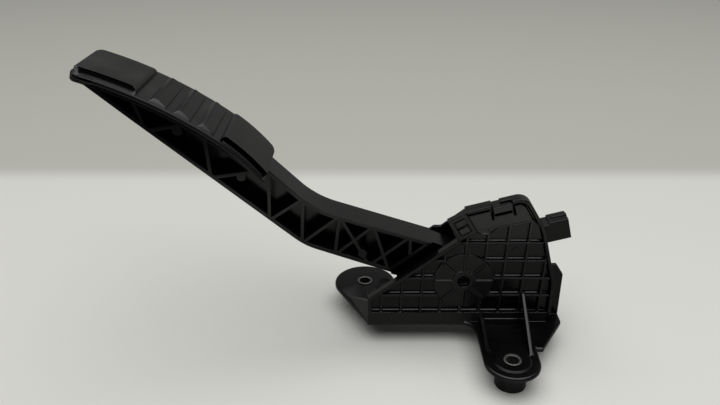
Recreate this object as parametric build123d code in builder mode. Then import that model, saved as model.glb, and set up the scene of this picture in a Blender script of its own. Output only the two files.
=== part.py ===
import os
from math import atan2, cos, degrees, radians, sin, tan

from build123d import *

# Accelerator pedal module lying on its mounting face. Millimetres.
# The origin is the axis of the front bolt on the mounting face, +X runs to the connector end,
# +Y away from the ribbed wall and +Z up. Side outlines are drawn from the pivot axis.

# Pivot, depths of the walls and clearances
PIVOT_X = -24.0
PIVOT_Z = 44.0
NEAR_Y = 38.0
WALL_T = 2.5
RIB_H = 3.0
FAR_Y = 75.5
ARM_Y = 58.0
ARM_W = 20.0
TILT = 15.0
JOIN_GAP = 0.2
RUN_GAP = 0.04
SIDE_GAP = 0.2
STOP_GAP = 0.3

# Mounting ears
BOLT_R = 3.6
MOUNT_BUSH_R = 5.1
MOUNT_BUSH_L = 16.8
BOSS_R = 9.0
EAR_R = 16.0
LEFT_EAR_R = 20.0
COLLAR_R = 10.5
COLLAR_H = 0.7
PLATE_BASE = 13.4
PLATE_T = 2.6
FRONT_BOLT = (0.0, 0.0)
LEFT_BOLT = (-82.6, 84.7)
RIGHT_BOLT = (18.0, 84.7)
BASE_LEFT = -81.0
BASE_RIGHT = 37.0
FLARE = (20.0, 11.0)
EAR_FILLET = 10.0
GUSSET_T = 2.5
TALL_GUSSET = (12.0, 20.5, 33.0)
LOW_GUSSET = (-12.3, 7.0, 29.0)
END_WALL_H = 2.0
EAR_WEB_H = 15.0
EAR_WEB_RUN = 31.0
FOOT_DEPTH = 8.3
FOOT_H = 35.3
FOOT_IN = 10.6
FOOT_BEVEL = (4.5, 6.8)

# Outline of the ribbed wall, from the pivot axis
LEFT_U = -57.0
LEFT_TOP = -12.0
SLOPE_END = (-5.3, 27.3)
SNAP_TOP_LEFT = (-12.0, 40.4)
SNAP_TOP_RIGHT = (-2.0, 46.5)
TOP_RIGHT = (32.4, 55.7)
SHOULDER = (44.4, 36.0)
RIGHT_U = 54.0
RIGHT_TOP = 0.0
TOP_R = 8.0
SHOULDER_R = 30.0
RIM_T = 2.0
RAIL_H = 9.2
SKIRT_H = 2.0
SKIRT_GAP = 1.5
SKIRT_STEP = (6.0, 34.2)
SKIRT_END = (60.0, 45.6)

# Rib grid, hub and snap tongue on the ribbed wall
RIB_T = 1.4
RIB_DROP = 0.3
RIB_PITCH_U = 11.9
RIB_PITCH_W = 11.9
RIB_LOWEST = -9.6
RIB_LEFT = -48.4
RIB_ROWS = 4
RIB_COLUMNS = 9
RIB_LEAN = -2.3
HUB_R = 18.0
HUB_H = 1.5
SPOKE_H = 0.8
SPOKE_T = 1.6
SPOKES = 8
HUB_RING_R = 7.0
HUB_HOLE_R = 3.7
BOSS_IN_R = 8.5
TONGUE_U = 30.8
TONGUE_W = 12.7
SLIT_T = 1.2
SLIT_BASE = 35.8
SLIT_L = 7.0
LUG_W = 11.0
LUG_H = 3.8
LUG_BASE = 40.6
LUG_OUT = 2.4
LUG_GAP = 0.5
STRAP_T = 1.8
STRAP_BAR = 2.6
STRAP_BACK = 42.0
STRAP_CUT = 6.0
CATCH_H = 4.0
STAKE_R = 1.2
STAKES = ((20.0, 10.0), (32.0, 21.0))

# Rear cover
STRIP_T = 2.0
STRIP_DEPTH = 8.0
STEP_T = 1.8
ROOF_W = 29.5
COVER_T = 2.5
COVER_LEFT = -38.0
COVER_LEFT_TOP = 2.4
COVER_STEP = ((-15.5, 19.5), (-11.0, 19.5))
COVER_RISE = 4.0
COVER_SHOULDER = (42.0, 30.0)
COVER_RIGHT = 50.0
COVER_RIGHT_TOP = 4.0
NOTCH_U = 27.8
NOTCH_W = 4.7
NOTCH_H = 8.0
TRACK_R = 38.0
TRACK_T = 2.5
TRACK_LOW = -12.0
TRACK_HIGH = 16.0
TRACK_Y = 50.0

# Shaft and bushes
SHAFT_R = 4.0
SHAFT_SHORT = 0.5
BUSH_R = 5.6
BUSH_L = 5.0
BUSH_FLANGE_R = 7.5
BUSH_FLANGE_T = 0.8

# Pedal arm, from the pivot axis
ARM_CROWN = (-155.2, 108.6)
ARM_BEND = (-88.4, 43.5)
ARM_ROOT = (-19.0, 21.0)
ARM_HEAD_R = 238.0
TOE_SLOPE = 17.6
TIP_RUN = 1.0
ARM_BEND_R = 54.0
TOE_DROP = (-2.5, -6.5)
TOE_BEND = (-186.5, 97.1)
HEEL_BEND = (-95.0, 19.5)
HEEL = (-43.0, 1.0)
TOE_R = 80.0
HEEL_R = 40.0
FLANGE_T = 2.4
WEB_T = 3.0
WEB_SHIFT = 4.5
TRUSS_T = 2.0
TRUSS_TOP = (-188.2, -148.9, -114.0, -95.0, -74.0, -54.0, -32.0)
TRUSS_LOW = (-180.2, -146.9, -115.0, -96.5, -77.0, -56.5, -44.5)
TRUSS_PAIRS = ((0, 0), (1, 0), (1, 1), (2, 1), (2, 2), (3, 2), (3, 3), (4, 3), (4, 4), (4, 5), (5, 4),
               (5, 6), (6, 5))
ROOT_RIB = (-32.0, 24.0)
DIMPLES = ((-163.0, 91.8), (-129.7, 64.1), (-60.5, 13.9))
DIMPLE_R = 2.8
HEAD_W = 44.0
HEAD_T = 2.5
ARM_HUB_R = 13.0
ROOT_INSET = 2.0
ROOT_STEP = 0.6
TAIL_TOP = -2.0
TAIL_T = 7.0
TAIL_INSET = 2.5
TRAVEL = 16.0

# Pad
PAD_W = 48.5
PAD_SHIFT = 1.5
PAD_T = 2.3
PAD_CORNER_R = 6.0
PAD_SHORT = 0.3
PAD_OVER = 0.4
PAD_INSET = 4.2
PAD_SEAT = 0.05
TREAD_T = 3.1
TREAD_R = 1.6
TREAD_TOE = (72.3, 64.9)
TREAD_HEEL = (53.7, 46.6)
BAR_W = 6.5
BAR_R = 2.0
BAR_ANGLES = (62.5, 59.2, 55.9)
PEG_R = 2.5
PEG_L = 5.0
PEG_SPREAD = 14.0
PEG_ANGLES = (68.0, 51.0)

# Return springs and their seats, along the tilted spring axis
SPRING_U = 24.0
CARRIER_T = 4.0
CARRIER_R = 9.4
CARRIER_PEG_R = 3.4
CARRIER_PEG_L = 4.0
SEAT_T = 1.5
OUTER_MEAN_R = 7.4
OUTER_WIRE_R = 0.9
OUTER_PITCH = 4.3
INNER_MEAN_R = 4.6
INNER_WIRE_R = 0.6
INNER_PITCH = 3.6
SPRING_GAP = 0.05

# Friction shoe and rubber stops
SHOE_GAP = 0.3
SHOE_T = 3.7
SHOE_INSET = 3.0
SHOE_TOP = -2.5
STOP_R = 5.0
STOP_ROUND = 2.5
STOP_STEM_R = 2.0
STOP_STEM_L = 5.0
STOP_L = 8.0
POST_R = 6.5
IDLE_U = 26.0
FULL_U = -47.0

# Sensor and connector
BOARD_T = 1.6
BOARD_GAP = 0.4
BOARD_RING_R = 14.0
BOARD_HOLE_R = 9.2
BOARD_LOW = 6.0
BOARD_HIGH = 24.0
BOARD_END_GAP = 0.5
CHIP = (6.0, 5.0, 1.2)
CHIP_AT = ((18.0, 18.5), (27.5, 12.5))
ROTOR_T = 0.8
ROTOR_R = 12.5
ROTOR_HOLE_R = 8.2
PLUG_CLEAR = 2.0
PLUG_END = 67.0
PLUG_NECK = 56.0
NECK_DROP = 1.2
PLUG_W = 16.5
PLUG_H = 12.6
PLUG_DEPTH = 11.0
PLUG_Y = 44.0
PLUG_T = 1.4
CAVITY_L = 13.0
PLUG_GAP = 0.25
KEY_W = 3.0
KEY_H = 1.2
KEY_L = 9.0
PIN = 0.64
PIN_PITCH = 1.5
PINS = 6
PIN_Y = 47.0
PIN_BACK = 3.0
PIN_END = 62.0
PIN_HOLE = 0.8

WALL_FRONT = NEAR_Y + RIB_H
WALL_BACK = WALL_FRONT + WALL_T
FAR_INNER = FAR_Y - COVER_T
ARM_NEAR = ARM_Y - ARM_W / 2
ARM_FAR = ARM_Y + ARM_W / 2
PAD_Y = ARM_Y - PAD_SHIFT
STRIP_BACK = NEAR_Y + STRIP_DEPTH
STEP_FRONT = STRIP_BACK - STEP_T
PLATE_TOP = PLATE_BASE + PLATE_T
FOOT = PLATE_BASE - PIVOT_Z
FLOOR = PLATE_TOP - PIVOT_Z
TAIL_END = TRACK_R - SHOE_GAP - SHOE_T
TAIL_W = ARM_W - 2 * TAIL_INSET
SHOE_W = ARM_W - 2 * SHOE_INSET
PLUG_U = TRACK_R + PLUG_CLEAR
BOARD_END = PLUG_U - BOARD_END_GAP
PIN_U = PLUG_U - PIN_BACK
STRAP_W = (Vector(*SNAP_TOP_RIGHT) - Vector(*SNAP_TOP_LEFT)).length
STRAP_H = (Vector(*SNAP_TOP_LEFT) - Vector(*SLOPE_END)).length
REACH = 200.0

os.makedirs("parts", exist_ok=True)


def side(y):
    """Upright plane at depth y through the pivot axis, drawn to the right and up."""
    return Plane(origin=(PIVOT_X, y, PIVOT_Z), x_dir=(1, 0, 0), z_dir=(0, -1, 0))


def tilted(y):
    """The same plane turned to the slope of the sensor end."""
    slope = radians(TILT)
    return Plane(origin=(PIVOT_X, y, PIVOT_Z), x_dir=(cos(slope), 0, sin(slope)), z_dir=(0, -1, 0))


def turned(along, up, angle=TILT):
    """A point of a turned side plane, in the coordinates of the upright one."""
    a = radians(angle)
    return (along * cos(a) - up * sin(a), along * sin(a) + up * cos(a))


def toward(start, end):
    """Unit vector from one point of an outline to the next."""
    return (Vector(*end) - Vector(*start)).normalized()


def block(left, right, low, high):
    """Rectangle between two stations and two heights."""
    with BuildSketch() as area:
        with Locations(((left + right) / 2, (low + high) / 2)):
            Rectangle(right - left, high - low)
    return area.sketch


def polygon(*points):
    """Closed outline through the given points."""
    with BuildSketch() as area:
        with BuildLine():
            Polyline(*points, close=True)
        make_face()
    return area.sketch


def near(area, point):
    """The corner of an outline nearest to a point."""
    return area.vertices().sort_by_distance((point[0], point[1], 0))[0]


def wall_outline():
    """Outline of the ribbed wall with the strip of the rear cover round it."""
    with BuildSketch() as area:
        with BuildLine():
            Polyline((LEFT_U, FOOT), (LEFT_U, LEFT_TOP), SLOPE_END, SNAP_TOP_LEFT, SNAP_TOP_RIGHT,
                     TOP_RIGHT, SHOULDER, (RIGHT_U, RIGHT_TOP), (RIGHT_U, FOOT), close=True)
        make_face()
        fillet(near(area, TOP_RIGHT), TOP_R)
        fillet(near(area, SHOULDER), SHOULDER_R)
    return area.sketch


def cover_outline():
    """Outline of the lower far half, under the tilted roof."""
    ridge = COVER_SHOULDER[0] - COVER_T * 4
    eaves = (ROOF_W + COVER_RISE * sin(radians(TILT))) / cos(radians(TILT))
    crown = (ROOF_W + ridge * sin(radians(TILT))) / cos(radians(TILT))
    with BuildSketch() as area:
        with BuildLine():
            Polyline((COVER_LEFT, FLOOR + JOIN_GAP), (COVER_LEFT, COVER_LEFT_TOP), *COVER_STEP,
                     (COVER_RISE, eaves), (ridge, crown), COVER_SHOULDER, (COVER_RIGHT, COVER_RIGHT_TOP),
                     (COVER_RIGHT, FLOOR + JOIN_GAP), close=True)
        make_face()
    return area.sketch


def inset(area, amount, corners=Kind.INTERSECTION):
    """An outline drawn in by a wall thickness."""
    with BuildSketch() as smaller:
        add(area)
        offset(amount=-amount, kind=corners, mode=Mode.REPLACE)
    return smaller.sketch


def strip_area(thickness, foot_gap):
    """Band along the top and right edges of the ribbed wall, down to a gap over the base plate."""
    across = toward(SNAP_TOP_LEFT, SNAP_TOP_RIGHT)
    edge = Vector(*SNAP_TOP_LEFT) + toward(SNAP_TOP_LEFT, SLOPE_END) * thickness
    start = edge - across * REACH
    turn = edge + across * (STRAP_W - thickness)
    core = (SHOULDER[0] - SHOULDER_R, SHOULDER[1] - SHOULDER_R)
    with BuildSketch() as area:
        add(wall_outline())
        add(inset(wall_outline(), thickness), mode=Mode.SUBTRACT)
        add(polygon((turn.X, turn.Y), (start.X, start.Y), (start.X, REACH), (REACH, REACH),
                    (REACH, FLOOR + foot_gap), (core[0], FLOOR + foot_gap), core), mode=Mode.INTERSECT)
    return area.sketch


def near_area():
    """Face of the ribbed wall inside the strip."""
    with BuildSketch() as area:
        add(wall_outline())
        add(strip_area(STRIP_T + JOIN_GAP, 0), mode=Mode.SUBTRACT)
    return area.sketch


def panel_side():
    """Part of the ribbed wall above the lower edge of the smooth panel."""
    return polygon((LEFT_U, SLOPE_END[1]), SLOPE_END, SKIRT_STEP, SKIRT_END, (SKIRT_END[0], REACH),
                   (LEFT_U, REACH))


def skirt_area():
    """Smooth raised panel above the rib grid, with a groove along the strip."""
    with BuildSketch() as area:
        add(near_area())
        add(strip_area(STRIP_T + SKIRT_GAP, 0), mode=Mode.SUBTRACT)
        add(panel_side(), mode=Mode.INTERSECT)
    return area.sketch


def rib_area():
    """Grid of level and leaning ribs, clear of the hub and the smooth panel."""
    with BuildSketch() as area:
        for row in range(RIB_ROWS):
            with Locations((0, RIB_LOWEST + row * RIB_PITCH_W)):
                Rectangle(REACH, RIB_T)
        for column in range(RIB_COLUMNS):
            with Locations(Location((RIB_LEFT + column * RIB_PITCH_U, 0), RIB_LEAN)):
                Rectangle(RIB_T, REACH)
        add(near_area(), mode=Mode.INTERSECT)
        Circle(HUB_R, mode=Mode.SUBTRACT)
        add(panel_side(), mode=Mode.SUBTRACT)
        add(strap_part(-JOIN_GAP, -JOIN_GAP, -JOIN_GAP, 0), mode=Mode.SUBTRACT)
    return area.sketch


def rim_area():
    """Rim along the open edges of the wall and the plain rail at its foot."""
    with BuildSketch() as area:
        add(near_area())
        add(inset(wall_outline(), RIM_T), mode=Mode.SUBTRACT)
        add(panel_side(), mode=Mode.SUBTRACT)
        add(strap_part(-JOIN_GAP, -JOIN_GAP, -JOIN_GAP, 0), mode=Mode.SUBTRACT)
        add(block(LEFT_U, RIGHT_U - STRIP_T - JOIN_GAP, FOOT, FOOT + RAIL_H))
    return area.sketch


def strap_part(left, right, low, high):
    """Rectangle within the snap strap, from its four edges, square to the sloping edge of the wall."""
    across = toward(SNAP_TOP_LEFT, SNAP_TOP_RIGHT)
    with BuildSketch() as area:
        with Locations(Location(SNAP_TOP_LEFT, degrees(atan2(across.Y, across.X)))):
            with Locations(((left + STRAP_W - right) / 2, (low - STRAP_H - high) / 2)):
                Rectangle(STRAP_W - left - right, STRAP_H - low - high)
    return area.sketch


def ear_area():
    """Plan of the base plate with its three ears."""
    near_left = (BASE_LEFT, NEAR_Y)
    with BuildSketch() as left_ear:
        with Locations(LEFT_BOLT):
            Circle(LEFT_EAR_R)
        add(polygon(near_left, (BASE_LEFT + EAR_R, NEAR_Y), (BASE_LEFT + EAR_R, FAR_Y), (BASE_LEFT, FAR_Y)))
        make_hull()
    with BuildSketch() as area:
        add(block(BASE_LEFT, BASE_RIGHT, NEAR_Y, FAR_Y))
        add(left_ear.sketch)
        for bolt in (FRONT_BOLT, RIGHT_BOLT):
            with Locations(bolt):
                Circle(EAR_R)
        add(block(FRONT_BOLT[0] - EAR_R, FRONT_BOLT[0] + EAR_R, FRONT_BOLT[1], NEAR_Y))
        add(block(RIGHT_BOLT[0] - EAR_R, RIGHT_BOLT[0] + EAR_R, ARM_Y, RIGHT_BOLT[1]))
        add(polygon((FRONT_BOLT[0], FRONT_BOLT[1] + FLARE[1]), FLARE, (BASE_RIGHT, NEAR_Y),
                    (FRONT_BOLT[0], NEAR_Y)))
        fillet(near(area, (FRONT_BOLT[0] - EAR_R, NEAR_Y)), EAR_FILLET)
    return area.sketch


def stop_height(point, slope, station):
    """Top of a rounded stop that stands STOP_GAP off a sloping face."""
    lean = radians(slope)
    touch = station - (STOP_R - STOP_ROUND) * (1 if slope > 0 else -1)
    face = point[1] + (touch - point[0]) * tan(lean)
    return PIVOT_Z + face + STOP_ROUND - (STOP_ROUND + STOP_GAP) / cos(lean)


def height_on(line, station):
    """Height of a side outline at a station."""
    low, high = 0.0, 1.0
    falling = (line @ 0).X > (line @ 1).X
    for _ in range(40):
        middle = (low + high) / 2
        if ((line @ middle).X < station) != falling:
            low = middle
        else:
            high = middle
    return (line @ low).Y


# Heights of the two stops
tail_face = turned(IDLE_U, TAIL_TOP - TAIL_T)
IDLE_TOP = stop_height(tail_face, TILT, IDLE_U)
heel_slope = degrees(atan2(HEEL[1] - HEEL_BEND[1], HEEL[0] - HEEL_BEND[0]))
FULL_TOP = stop_height(turned(*HEEL, TRAVEL), heel_slope + TRAVEL, FULL_U)
STOPS = (("idle_stop", IDLE_U, IDLE_TOP), ("full_stop", FULL_U, FULL_TOP))

# Housing: ribbed wall, base plate with three ears, gussets and stop posts
with BuildPart() as housing:
    with BuildSketch(side(WALL_BACK)):
        add(near_area())
    extrude(amount=WALL_T)
    with BuildSketch(side(WALL_FRONT)):
        add(skirt_area())
    extrude(amount=SKIRT_H)
    # hub disc with spokes and ring, and the boss inside
    with BuildSketch(side(WALL_FRONT)):
        Circle(HUB_R)
    extrude(amount=HUB_H)
    with BuildSketch(side(WALL_FRONT - HUB_H)):
        for spoke in range(SPOKES // 2):
            with Locations(Location((0, 0), spoke * 360 / SPOKES)):
                Rectangle(2 * HUB_R - RIM_T, SPOKE_T)
        Circle(HUB_RING_R)
    extrude(amount=SPOKE_H)
    with BuildSketch(side(ARM_NEAR - BUSH_FLANGE_T - SIDE_GAP)):
        Circle(BOSS_IN_R)
    extrude(amount=ARM_NEAR - BUSH_FLANGE_T - SIDE_GAP - WALL_FRONT)
    with BuildSketch(side(ARM_NEAR - BUSH_FLANGE_T - SIDE_GAP)):
        Circle(BUSH_R)
    extrude(amount=BUSH_L, mode=Mode.SUBTRACT)
    with BuildSketch(side(WALL_BACK)):
        Circle(HUB_HOLE_R)
    extrude(amount=WALL_BACK - NEAR_Y, mode=Mode.SUBTRACT)
    # snap tongue between two slits, with its lug
    with BuildSketch(tilted(WALL_BACK)):
        for edge in (-1, 1):
            with Locations((TONGUE_U + edge * TONGUE_W / 2, SLIT_BASE + SLIT_L / 2)):
                Rectangle(SLIT_T, SLIT_L)
    extrude(amount=WALL_BACK - NEAR_Y, mode=Mode.SUBTRACT)
    with BuildSketch(tilted(WALL_FRONT)):
        with Locations((TONGUE_U, LUG_BASE + LUG_H / 2)):
            Rectangle(LUG_W, LUG_H)
    extrude(amount=SKIRT_H + LUG_OUT)
    # catch inside the window of the snap strap
    catch_edge = STRAP_BAR + JOIN_GAP
    with BuildSketch(side(WALL_FRONT - SKIRT_H)):
        add(strap_part(catch_edge, catch_edge, catch_edge, STRAP_H - catch_edge - CATCH_H))
    extrude(amount=STRAP_T)
    # stakes that hold the sensor board
    with BuildSketch(tilted(WALL_BACK + BOARD_GAP + BOARD_T)):
        with Locations(*STAKES):
            Circle(STAKE_R)
    extrude(amount=BOARD_GAP + BOARD_T)
    # base plate, bosses and bolt holes
    with BuildSketch(Plane.XY.offset(PLATE_BASE)):
        add(ear_area())
    extrude(amount=PLATE_T)
    with BuildSketch(Plane.XY):
        with Locations(FRONT_BOLT, LEFT_BOLT, RIGHT_BOLT):
            Circle(BOSS_R)
    extrude(amount=PLATE_BASE)
    with BuildSketch(Plane.XY.offset(PLATE_TOP)):
        with Locations(FRONT_BOLT):
            Circle(COLLAR_R)
    extrude(amount=COLLAR_H)
    with BuildSketch(Plane.XY):
        with Locations(FRONT_BOLT, LEFT_BOLT, RIGHT_BOLT):
            Circle(MOUNT_BUSH_R)
    extrude(amount=MOUNT_BUSH_L, mode=Mode.SUBTRACT)
    # gussets of the front ear
    for station, height, run in (TALL_GUSSET, LOW_GUSSET):
        with BuildSketch(Plane(origin=(station + GUSSET_T / 2, NEAR_Y, PLATE_TOP), x_dir=(0, -1, 0),
                               z_dir=(-1, 0, 0))):
            add(polygon((0, 0), (run, 0), (0, height)))
        extrude(amount=GUSSET_T)
    # web to the left ear, end wall and right foot
    ear_way = toward((BASE_LEFT, NEAR_Y), (LEFT_BOLT[0] - LEFT_EAR_R, LEFT_BOLT[1]))
    with BuildSketch(Plane(origin=(BASE_LEFT, NEAR_Y, PLATE_TOP), x_dir=ear_way,
                           z_dir=ear_way.cross(Vector(0, 0, 1)))):
        add(polygon((0, 0), (EAR_WEB_RUN, 0), (0, EAR_WEB_H)))
    extrude(amount=WALL_T)
    with BuildSketch(Plane.XY.offset(PLATE_TOP)):
        add(block(BASE_LEFT, BASE_LEFT + WALL_T, NEAR_Y + RIB_H, FAR_INNER - JOIN_GAP))
    extrude(amount=END_WALL_H)
    with BuildSketch(side(NEAR_Y + FOOT_DEPTH + GUSSET_T)):
        edge = BASE_RIGHT - PIVOT_X
        add(polygon((edge - FOOT_IN, FLOOR), (edge, FLOOR), (edge, FLOOR + FOOT_H - FOOT_BEVEL[1]),
                    (edge - FOOT_BEVEL[0], FLOOR + FOOT_H), (edge - FOOT_IN, FLOOR + FOOT_H)))
    extrude(amount=GUSSET_T)
    # posts under the rubber stops
    for _, station, top in STOPS:
        with BuildSketch(Plane.XY.offset(PLATE_TOP)):
            with Locations((PIVOT_X + station, ARM_Y)):
                Circle(POST_R)
        extrude(amount=top - STOP_L - PLATE_TOP)
        with BuildSketch(Plane.XY.offset(top - STOP_L)):
            with Locations((PIVOT_X + station, ARM_Y)):
                Circle(STOP_STEM_R)
        extrude(amount=-STOP_STEM_L, mode=Mode.SUBTRACT)
    # rim, rail and rib grid of the wall
    with BuildSketch(side(WALL_FRONT)):
        add(rim_area())
    extrude(amount=RIB_H)
    with BuildSketch(side(WALL_FRONT)):
        add(rib_area())
    extrude(amount=RIB_H - RIB_DROP)
housing.part.label = "housing"
export_step(housing.part, "parts/housing.step")

# Rear cover: strip round the ribbed wall, low roof, far wall, friction track and snap strap
with BuildPart() as rear_cover:
    with BuildSketch(side(STRIP_BACK)):
        add(strip_area(STRIP_T, JOIN_GAP))
    extrude(amount=STRIP_DEPTH)
    roof_edge = polygon((SLOPE_END[0] - COVER_T, SLOPE_END[1]),
                        (SLOPE_END[0] + COVER_T * 2, SLOPE_END[1] - JOIN_GAP),
                        (COVER_RIGHT - COVER_T * 4, COVER_RIGHT_TOP), (COVER_RIGHT - COVER_T * 4, -REACH),
                        (REACH, -REACH), (REACH, REACH), (-REACH, REACH))
    with BuildSketch(side(STRIP_BACK)):
        add(wall_outline())
        add(inset(cover_outline(), COVER_T), mode=Mode.SUBTRACT)
        add(roof_edge, mode=Mode.INTERSECT)
        add(block(-REACH, REACH, FLOOR + JOIN_GAP, REACH), mode=Mode.INTERSECT)
    extrude(amount=STEP_T)
    with BuildSketch(side(FAR_Y)):
        add(cover_outline())
        add(inset(cover_outline(), COVER_T), mode=Mode.SUBTRACT)
        add(roof_edge, mode=Mode.INTERSECT)
    extrude(amount=FAR_Y - STEP_FRONT)
    with BuildSketch(side(FAR_Y)):
        add(cover_outline())
    extrude(amount=COVER_T)
    with BuildSketch(side(FAR_Y + HUB_H)):
        Circle(HUB_R)
    extrude(amount=HUB_H)
    # strap with its window, hung from the corner of the strip, which is narrower there
    with BuildSketch(side(STRIP_BACK)):
        add(strap_part(-STRAP_CUT, 0, STRAP_H - STRAP_CUT, -STRAP_CUT))
    extrude(amount=STRIP_BACK - STRAP_BACK, mode=Mode.SUBTRACT)
    with BuildSketch(side(WALL_FRONT - SKIRT_H)):
        add(strap_part(0, 0, 0, 0))
        add(strap_part(STRAP_BAR, STRAP_BAR, STRAP_BAR, STRAP_BAR), mode=Mode.SUBTRACT)
    extrude(amount=STRAP_T)
    # notch for the snap tongue, wider round its lug, and window for the connector
    for station, width, back in ((NOTCH_U, NOTCH_W, STRIP_BACK),
                                 (TONGUE_U, LUG_W + 2 * LUG_GAP, WALL_FRONT + LUG_GAP)):
        with BuildSketch(tilted(back)):
            with Locations((station, SNAP_TOP_RIGHT[1])):
                Rectangle(width, NOTCH_H)
        extrude(amount=back - NEAR_Y, mode=Mode.SUBTRACT)
    with BuildSketch(tilted(PLUG_Y + PLUG_DEPTH + PLUG_GAP)):
        add(block(PLUG_U - PLUG_GAP, PLUG_END, PLUG_W - PLUG_H / 2 - PLUG_GAP,
                  PLUG_W + PLUG_H / 2 + PLUG_GAP))
    extrude(amount=PLUG_DEPTH + 2 * PLUG_GAP, mode=Mode.SUBTRACT)
    # friction track round the arm's tail
    with BuildSketch(tilted(FAR_INNER)):
        Circle(TRACK_R + TRACK_T)
        Circle(TRACK_R, mode=Mode.SUBTRACT)
        add(block(TRACK_R / 2, TRACK_R * 2, TRACK_LOW, TRACK_HIGH), mode=Mode.INTERSECT)
    extrude(amount=FAR_INNER - TRACK_Y)
    # boss and blind seat of the far bush
    with BuildSketch(side(FAR_INNER)):
        Circle(BOSS_IN_R)
    extrude(amount=FAR_INNER - ARM_FAR - SIDE_GAP - BUSH_FLANGE_T)
    with BuildSketch(side(ARM_FAR + SIDE_GAP + BUSH_FLANGE_T + BUSH_L)):
        Circle(BUSH_R)
    extrude(amount=BUSH_L, mode=Mode.SUBTRACT)
rear_cover.part.label = "rear_cover"
export_step(rear_cover.part, "parts/rear_cover.step")

# Outlines of the pedal arm, whose curved head starts where its radius leaves the slope of the toe
toe_way = Vector(-cos(radians(TOE_SLOPE)), sin(radians(TOE_SLOPE)))
heel_way = toward(ARM_CROWN, ARM_BEND)
half_turn = radians(toe_way.get_angle(heel_way)) / 2
head_centre = Vector(*ARM_CROWN) + (toe_way + heel_way).normalized() * (ARM_HEAD_R / sin(half_turn))
tip = Vector(*ARM_CROWN) + toe_way * (ARM_HEAD_R / tan(half_turn) + TIP_RUN)
ARM_TIP = (tip.X, tip.Y)
TOE = (tip.X + TOE_DROP[0], tip.Y + TOE_DROP[1])
HEAD_AT = (head_centre.X, head_centre.Y)
PAD_START = 90 - TOE_SLOPE + PAD_OVER
PAD_END = degrees(atan2(heel_way.X, -heel_way.Y)) + PAD_SHORT
with BuildLine() as top_line:
    FilletPolyline(ARM_TIP, ARM_CROWN, ARM_BEND, ARM_ROOT, radius=(ARM_HEAD_R, ARM_BEND_R))
with BuildLine() as low_line:
    FilletPolyline(TOE, TOE_BEND, HEEL_BEND, HEEL, radius=(TOE_R, HEEL_R))
with BuildSketch() as arm_face:
    with BuildLine():
        add(top_line.line)
        add(low_line.line)
        Line(ARM_TIP, TOE)
        Line(ARM_ROOT, HEEL)
    make_face()


def head_band(low, high, start, end):
    """Slice of the pad's curved section between two radii and two angles."""
    with BuildSketch() as area:
        with BuildLine():
            outer = CenterArc(HEAD_AT, high, end, start - end)
            inner = CenterArc(HEAD_AT, low, end, start - end)
            Line(outer @ 0, inner @ 0)
            Line(outer @ 1, inner @ 1)
        make_face()
    return area.sketch


def head_point(radius, angle):
    """Point over the pad's curve."""
    return (HEAD_AT[0] + radius * cos(radians(angle)), HEAD_AT[1] + radius * sin(radians(angle)))


# Pedal arm: flanges, web and zig-zag ribs, head plate, hub and tail
with BuildPart() as pedal_arm:
    with BuildSketch(side(ARM_Y + WEB_SHIFT + WEB_T / 2)):
        add(arm_face.sketch)
    extrude(amount=WEB_T)
    with BuildSketch(side(ARM_FAR)):
        add(arm_face.sketch)
        add(inset(arm_face.sketch, FLANGE_T, Kind.ARC), mode=Mode.SUBTRACT)
    extrude(amount=ARM_W)
    with BuildSketch(side(ARM_FAR)):
        for upper, lower in TRUSS_PAIRS:
            with BuildLine():
                start = (TRUSS_TOP[upper], height_on(top_line.line, TRUSS_TOP[upper]))
                end = (TRUSS_LOW[lower], height_on(low_line.line, TRUSS_LOW[lower]))
                rib = Line(start, end)
            trace(rib, TRUSS_T)
        with Locations((ROOT_RIB[0], height_on(top_line.line, ROOT_RIB[0]))):
            Rectangle(TRUSS_T, ROOT_RIB[1])
        for dimple in DIMPLES:
            with Locations(dimple):
                Circle(DIMPLE_R)
        add(arm_face.sketch, mode=Mode.INTERSECT)
    extrude(amount=ARM_W)
    with BuildSketch(side(PAD_Y + HEAD_W / 2)):
        add(head_band(ARM_HEAD_R - HEAD_T, ARM_HEAD_R, PAD_START - PAD_OVER, PAD_END))
    extrude(amount=HEAD_W)
    # root block, hub and tail
    with BuildSketch(side(ARM_FAR - ROOT_INSET)):
        add(polygon(ARM_ROOT, HEEL, (HEEL[0], HEEL[1] - FLANGE_T)))
        Circle(ARM_HUB_R - ROOT_STEP)
        make_hull()
    extrude(amount=ARM_W - 2 * ROOT_INSET)
    with BuildSketch(side(ARM_FAR)):
        Circle(ARM_HUB_R)
    extrude(amount=ARM_W)
    with BuildSketch(tilted(ARM_Y + TAIL_W / 2)):
        Circle(TAIL_END)
        add(block(0, TAIL_END * 2, TAIL_TOP - TAIL_T, TAIL_TOP), mode=Mode.INTERSECT)
    extrude(amount=TAIL_W)
    with BuildSketch(side(ARM_FAR)):
        Circle(SHAFT_R)
    extrude(amount=ARM_W, mode=Mode.SUBTRACT)
    # holes for the pegs of the pad
    for angle in PEG_ANGLES:
        foot = head_point(ARM_HEAD_R - HEAD_T, angle)
        with BuildSketch(Plane(origin=(PIVOT_X + foot[0], PAD_Y, PIVOT_Z + foot[1]), x_dir=(0, 1, 0),
                               z_dir=(cos(radians(angle)), 0, sin(radians(angle))))):
            with Locations((-PEG_SPREAD, 0), (PEG_SPREAD, 0)):
                Circle(PEG_R + JOIN_GAP)
        extrude(amount=HEAD_T, both=True, mode=Mode.SUBTRACT)
pedal_arm.part.label = "pedal_arm"
export_step(pedal_arm.part, "parts/pedal_arm.step")

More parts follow.
